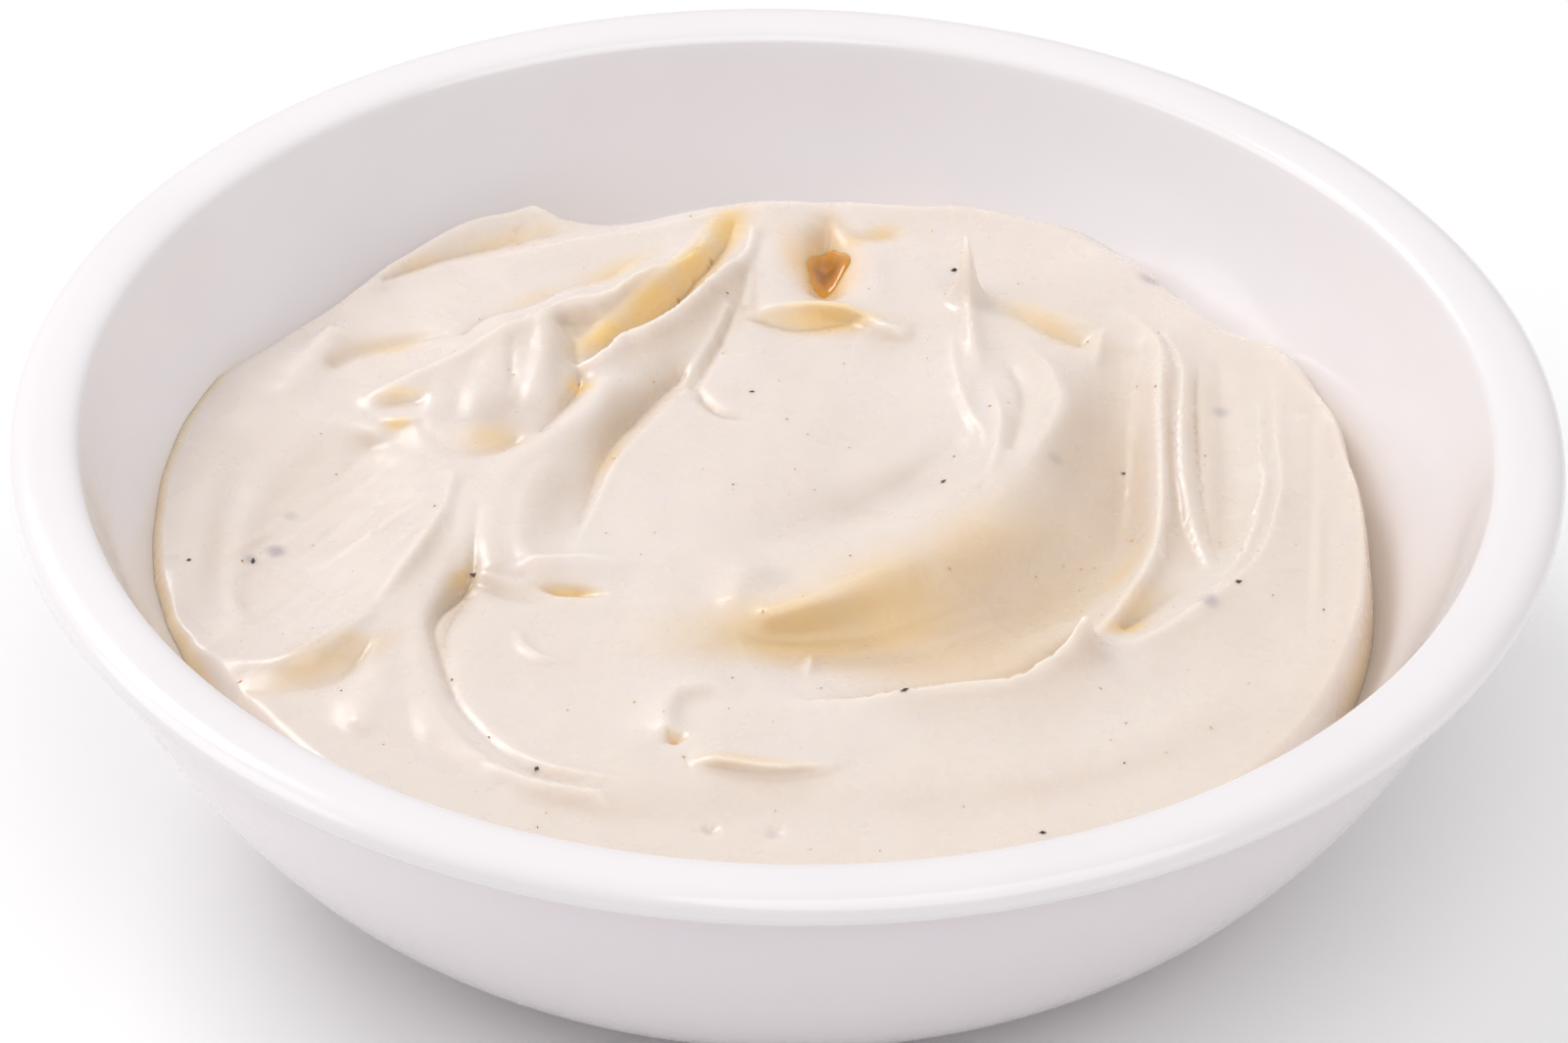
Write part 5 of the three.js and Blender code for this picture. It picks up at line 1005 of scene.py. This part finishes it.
def make_amber_drop():
    """A flat drop, pointed at both ends, lying on the floor of the pit."""
    rings, places, depth = [], [], []
    for k in range(DROP_RINGS + 1):
        share = k / DROP_RINGS
        rings.append([])
        for j in range(1 if k == 0 else DROP_SEGMENTS):
            angle = 2 * math.pi * j / DROP_SEGMENTS
            c, s = math.cos(angle), math.sin(angle)
            reach = share * (abs(c) ** DROP_POINTED + abs(s) ** DROP_POINTED) ** (-1 / DROP_POINTED)
            reach *= (1 + DROP_UNEVEN[0] * math.sin(3 * angle + 0.7)
                      + DROP_UNEVEN[1] * math.sin(5 * angle))
            x = DROP_X + DROP_HALF_WIDTH * reach * c + DROP_SLANT * reach * s
            y = DROP_Y + DROP_HALF_LENGTH * reach * s
            rings[-1].append(len(places))
            places.append((x, y))
            depth.append(1 - share ** 2)
    ground = surface_height(*np.array(places).T)
    below = len(places)
    lows = [(x, y, z - DROP_SINK) for (x, y), z in zip(places, ground)]
    tops = [(x, y, z - DROP_SINK + DROP_LEAST + (DROP_HEIGHT + DROP_SINK) * math.sqrt(d))
            for (x, y), z, d in zip(places, ground, depth)]
    faces = []
    for k in range(DROP_RINGS):
        for face in ring_faces(rings[k], rings[k + 1]):
            faces.append(face)
            faces.append([i + below for i in face[::-1]])
    last = rings[-1]
    for j, a in enumerate(last):
        b = last[(j + 1) % len(last)]
        faces.append([a, a + below, b + below, b])
    obj = new_object("amber_drop", tops + lows, faces)
    add_value(obj, "depth", depth + depth)
    return obj


def ring_faces(inner, outer):
    """Faces between a ring, or the middle point, and the next ring out."""
    count = len(outer)
    for j in range(count):
        after = (j + 1) % count
        start = inner if len(inner) == 1 else [inner[after], inner[j]]
        yield start + [outer[j], outer[after]]


# ---- materials


def new_material(name, base, **values):
    """A principled material; values are its sockets with spaces written as underscores."""
    material = bpy.data.materials.new(name)
    material.use_nodes = True
    shader = material.node_tree.nodes["Principled BSDF"]
    shader.inputs["Base Color"].default_value = (*base, 1)
    for key, value in values.items():
        shader.inputs[key.replace("_", " ")].default_value = value
    return material, material.node_tree, shader


def noise(tree, scale, detail=3.0, kind="ShaderNodeTexNoise", output="Fac"):
    """A noise texture on the object's own place, with a scale per metre."""
    place = tree.nodes.new("ShaderNodeTexCoord")
    texture = tree.nodes.new(kind)
    texture.inputs["Scale"].default_value = scale
    texture.inputs["Detail"].default_value = detail
    tree.links.new(place.outputs["Object"], texture.inputs["Vector"])
    return texture.outputs[output]


def ramp(tree, source, low, high, to_low=0.0, to_high=1.0):
    """A value led softly from one range to another."""
    node = tree.nodes.new("ShaderNodeMapRange")
    node.interpolation_type = "SMOOTHSTEP"
    limits = {"From Min": low, "From Max": high, "To Min": to_low, "To Max": to_high}
    for key, value in limits.items():
        node.inputs[key].default_value = value
    tree.links.new(source, node.inputs["Value"])
    return node.outputs["Result"]


def blend_colour(tree, share, first, second):
    """A colour between two, by the socket share; each is a colour or a socket."""
    node = tree.nodes.new("ShaderNodeMix")
    node.data_type = "RGBA"
    tree.links.new(share, node.inputs["Factor"])
    for key, colour in (("A", first), ("B", second)):
        socket = [s for s in node.inputs if s.name == key and s.type == "RGBA"][0]
        if isinstance(colour, tuple):
            socket.default_value = (*colour, 1)
        else:
            tree.links.new(colour, socket)
    return [s for s in node.outputs if s.type == "RGBA"][0]


def value_of(tree, name):
    """A value that the mesh carries."""
    node = tree.nodes.new("ShaderNodeAttribute")
    node.attribute_name = name
    return node.outputs["Fac"]


def add_bump(tree, shader, layers):
    """Fine relief: each layer is (socket, strength, distance in metres)."""
    previous = None
    for source, strength, distance in layers:
        bump = tree.nodes.new("ShaderNodeBump")
        bump.inputs["Strength"].default_value = strength
        bump.inputs["Distance"].default_value = distance
        tree.links.new(source, bump.inputs["Height"])
        if previous is not None:
            tree.links.new(previous, bump.inputs["Normal"])
        previous = bump.outputs["Normal"]
    tree.links.new(previous, shader.inputs["Normal"])


def glaze_material():
    """White glaze, with painted shade that darkens it on the outside below the lip."""
    material, tree, shader = new_material(
        "white_glaze", GLAZE_COLOUR, Roughness=0.16, IOR=1.5, Coat_Weight=0.35, Coat_Roughness=0.06)
    tint = blend_colour(tree, ramp(tree, noise(tree, 45.0), *CLOUD_RAMP), GLAZE_COLOUR, GLAZE_SHADE)
    tint = blend_colour(tree, value_of(tree, "outside_shade"), tint, GLAZE_OUTSIDE_SHADE)
    tree.links.new(tint, shader.inputs["Base Color"])
    fine = noise(tree, 900.0, 2.0)
    tree.links.new(ramp(tree, fine, 0.3, 0.8, 0.13, 0.22), shader.inputs["Roughness"])
    add_bump(tree, shader, [(noise(tree, 60.0, 1.0), 0.25, 0.0004), (fine, 0.08, 0.00005)])
    return material


def mayonnaise_material():
    """Soft cream with clouds, stains, and painted shade in its hollows, slits, folds and along its
    edges.
    """
    material, tree, shader = new_material(
        "mayonnaise", CREAM, Roughness=0.3, IOR=1.46, Subsurface_Weight=1.0,
        Subsurface_Scale=CREAM_SCATTER, Subsurface_Radius=CREAM_REACH,
        Coat_Weight=0.25, Coat_Roughness=0.18)
    colour = CREAM
    for share, tint in [
        (ramp(tree, noise(tree, 60.0, 2.0), *CLOUD_RAMP), CREAM_PALE),
        (ramp(tree, noise(tree, 150.0, 2.0), 0.35, 0.85, 0.0, 0.35), CREAM_WARM),
        (value_of(tree, "outer"), CREAM_WARM),
        # painted shade in the hollows
        (ramp(tree, value_of(tree, "hollow"), *HOLLOW_SHADE_RAMP), HOLLOW_SHADE_TINT),
        # painted shade in the slits
        (ramp(tree, value_of(tree, "slit"), *SLIT_SHADE_RAMP), SLIT_SHADE_TINT),
        # painted warm shade in hollows and under folds
        (value_of(tree, "warm_shade"), WARM_SHADE_TINT),
        (value_of(tree, "shade"), SHADE_TINT),
        # painted shade along the wall's edge
        (value_of(tree, "edge"), EDGE_SHADE_TINT),
        (value_of(tree, "sunk"), SUNK_TINT),
        (value_of(tree, "amber"), AMBER_TINT),
    ]:
        colour = blend_colour(tree, share, colour, tint)
    tree.links.new(colour, shader.inputs["Base Color"])
    gloss = noise(tree, 260.0)
    tree.links.new(ramp(tree, gloss, *CLOUD_RAMP, 0.24, 0.42), shader.inputs["Roughness"])
    pores = noise(tree, 700.0, kind="ShaderNodeTexVoronoi", output="Distance")
    add_bump(tree, shader, [
        (gloss, 0.25, 0.0002),
        (noise(tree, 1500.0), 0.25, 0.00008),
        (ramp(tree, pores, 0.0, 0.22), 0.15, 0.00006),
    ])
    return material


def fleck_material(name, dark, light, roughness):
    """Ground pepper or spice, mottled between two colours."""
    material, tree, shader = new_material(
        name, dark, Roughness=roughness, Subsurface_Weight=0.1, Subsurface_Scale=0.0002)
    colour = blend_colour(tree, ramp(tree, noise(tree, 2500.0), 0.35, 0.65), dark, light)
    tree.links.new(colour, shader.inputs["Base Color"])
    return material


def amber_material():
    """Amber oil, deeper where the drop is thick."""
    material, tree, shader = new_material(
        "amber_oil", DROP_COLOUR, Roughness=0.18, IOR=1.45, Subsurface_Weight=0.35,
        Subsurface_Scale=0.001, Coat_Weight=0.4, Coat_Roughness=0.05)
    cloud = noise(tree, 420.0)
    thick = ramp(tree, value_of(tree, "depth"), 0.25, 1.0, 0.0, 0.8)
    deep = blend_colour(tree, thick, DROP_COLOUR, DROP_DEEP)
    colour = blend_colour(tree, ramp(tree, cloud, *CLOUD_RAMP, 0.0, 0.5), deep, DROP_COLOUR)
    tree.links.new(colour, shader.inputs["Base Color"])
    add_bump(tree, shader, [(cloud, 0.2, 0.0002)])
    return material


def floor_material():
    """A plain pale floor with a faint unevenness."""
    material, tree, shader = new_material("pale_floor", FLOOR_COLOUR, Roughness=0.9)
    lighter = tuple(min(1.0, v * FLOOR_LIGHTER) for v in FLOOR_COLOUR)
    tint = blend_colour(tree, noise(tree, 300.0, 2.0), FLOOR_COLOUR, lighter)
    tree.links.new(tint, shader.inputs["Base Color"])
    return material


# ---- build


def finish_piece(obj, material, replaced=None):
    """Material, body, and the node that a piece takes the place of."""
    obj.data.materials.clear()
    obj.data.materials.append(material)
    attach(obj, "root")
    if replaced:
        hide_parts(replaced)


bowl = make_bowl()
finish_piece(bowl, glaze_material(), "bowl")

mayonnaise = make_mayonnaise()
mark_surface(mayonnaise)
finish_piece(mayonnaise, mayonnaise_material(), "mayonnaise")

# name, places, least and greatest size, seed, share sunk; material: name, colours, roughness
FLECKS = [
    ("pepper_flecks", PEPPER, 0.45, 0.8, 3, 0.1,
     "pepper", (0.03, 0.022, 0.02), (0.10, 0.07, 0.055), 0.6),
    ("fine_flecks", scattered_places(46, 11, 47), 0.2, 0.36, 5, 0.25,
     "dark_spice", (0.16, 0.10, 0.06), (0.35, 0.22, 0.12), 0.6),
    ("spice_flecks", SPICE + scattered_places(90, 21, 48), 0.22, 0.46, 7, 0.3,
     "orange_spice", (0.50, 0.20, 0.04), (0.74, 0.38, 0.10), 0.5),
]
for row in FLECKS:
    finish_piece(make_flecks(*row[:6]), fleck_material(*row[6:]))

drop = make_amber_drop()
finish_piece(drop, amber_material())

# ---- floor and light

bpy.ops.mesh.primitive_plane_add(size=FLOOR_SIZE)
floor = bpy.context.object
floor.name = "floor"
floor.data.materials.append(floor_material())

world = bpy.data.worlds.new("soft_room")
bpy.context.scene.world = world
world.use_nodes = True
world.node_tree.nodes["Background"].inputs["Color"].default_value = (*WORLD_COLOUR, 1)
world.node_tree.nodes["Background"].inputs["Strength"].default_value = WORLD_STRENGTH

for name, place, size, power in LIGHTS:
    light = bpy.data.lights.new(name, "AREA")
    light.shape = "DISK"
    light.size = size
    light.energy = power
    light.color = LIGHT_COLOUR
    lamp = bpy.data.objects.new(name, light)
    bpy.context.scene.collection.objects.link(lamp)
    lamp.location = place
    lamp.rotation_euler = (Vector(LIGHT_AIM) - Vector(place)).to_track_quat("-Z", "Y").to_euler()

# ---- camera

camera_place = Vector((
    0, -CAMERA_DISTANCE * math.cos(CAMERA_ELEVATION),
    BOWL_HEIGHT + CAMERA_DISTANCE * math.sin(CAMERA_ELEVATION))) * MM
camera_aim = Vector((CAMERA_AIM_X, 0, CAMERA_AIM_Z)) * MM
forward = (camera_aim - camera_place).normalized()
level_right = forward.cross(Vector((0, 0, 1))).normalized()
level_up = level_right.cross(forward)
c, s = math.cos(CAMERA_ROLL), math.sin(CAMERA_ROLL)
right = c * level_right + s * level_up
up = c * level_up - s * level_right
camera_data = bpy.data.cameras.new("camera")
camera_data.sensor_width = SENSOR_WIDTH
camera_data.lens = CAMERA_LENS
camera_data.clip_start = CAMERA_CLIP
camera = bpy.data.objects.new("camera", camera_data)
bpy.context.scene.collection.objects.link(camera)
rows = [(right[k], up[k], -forward[k], camera_place[k]) for k in range(3)]
camera.matrix_world = Matrix(rows + [(0, 0, 0, 1)])
bpy.context.scene.camera = camera
bpy.context.scene.view_settings.view_transform = "Standard"
bpy.context.scene.view_settings.exposure = EXPOSURE
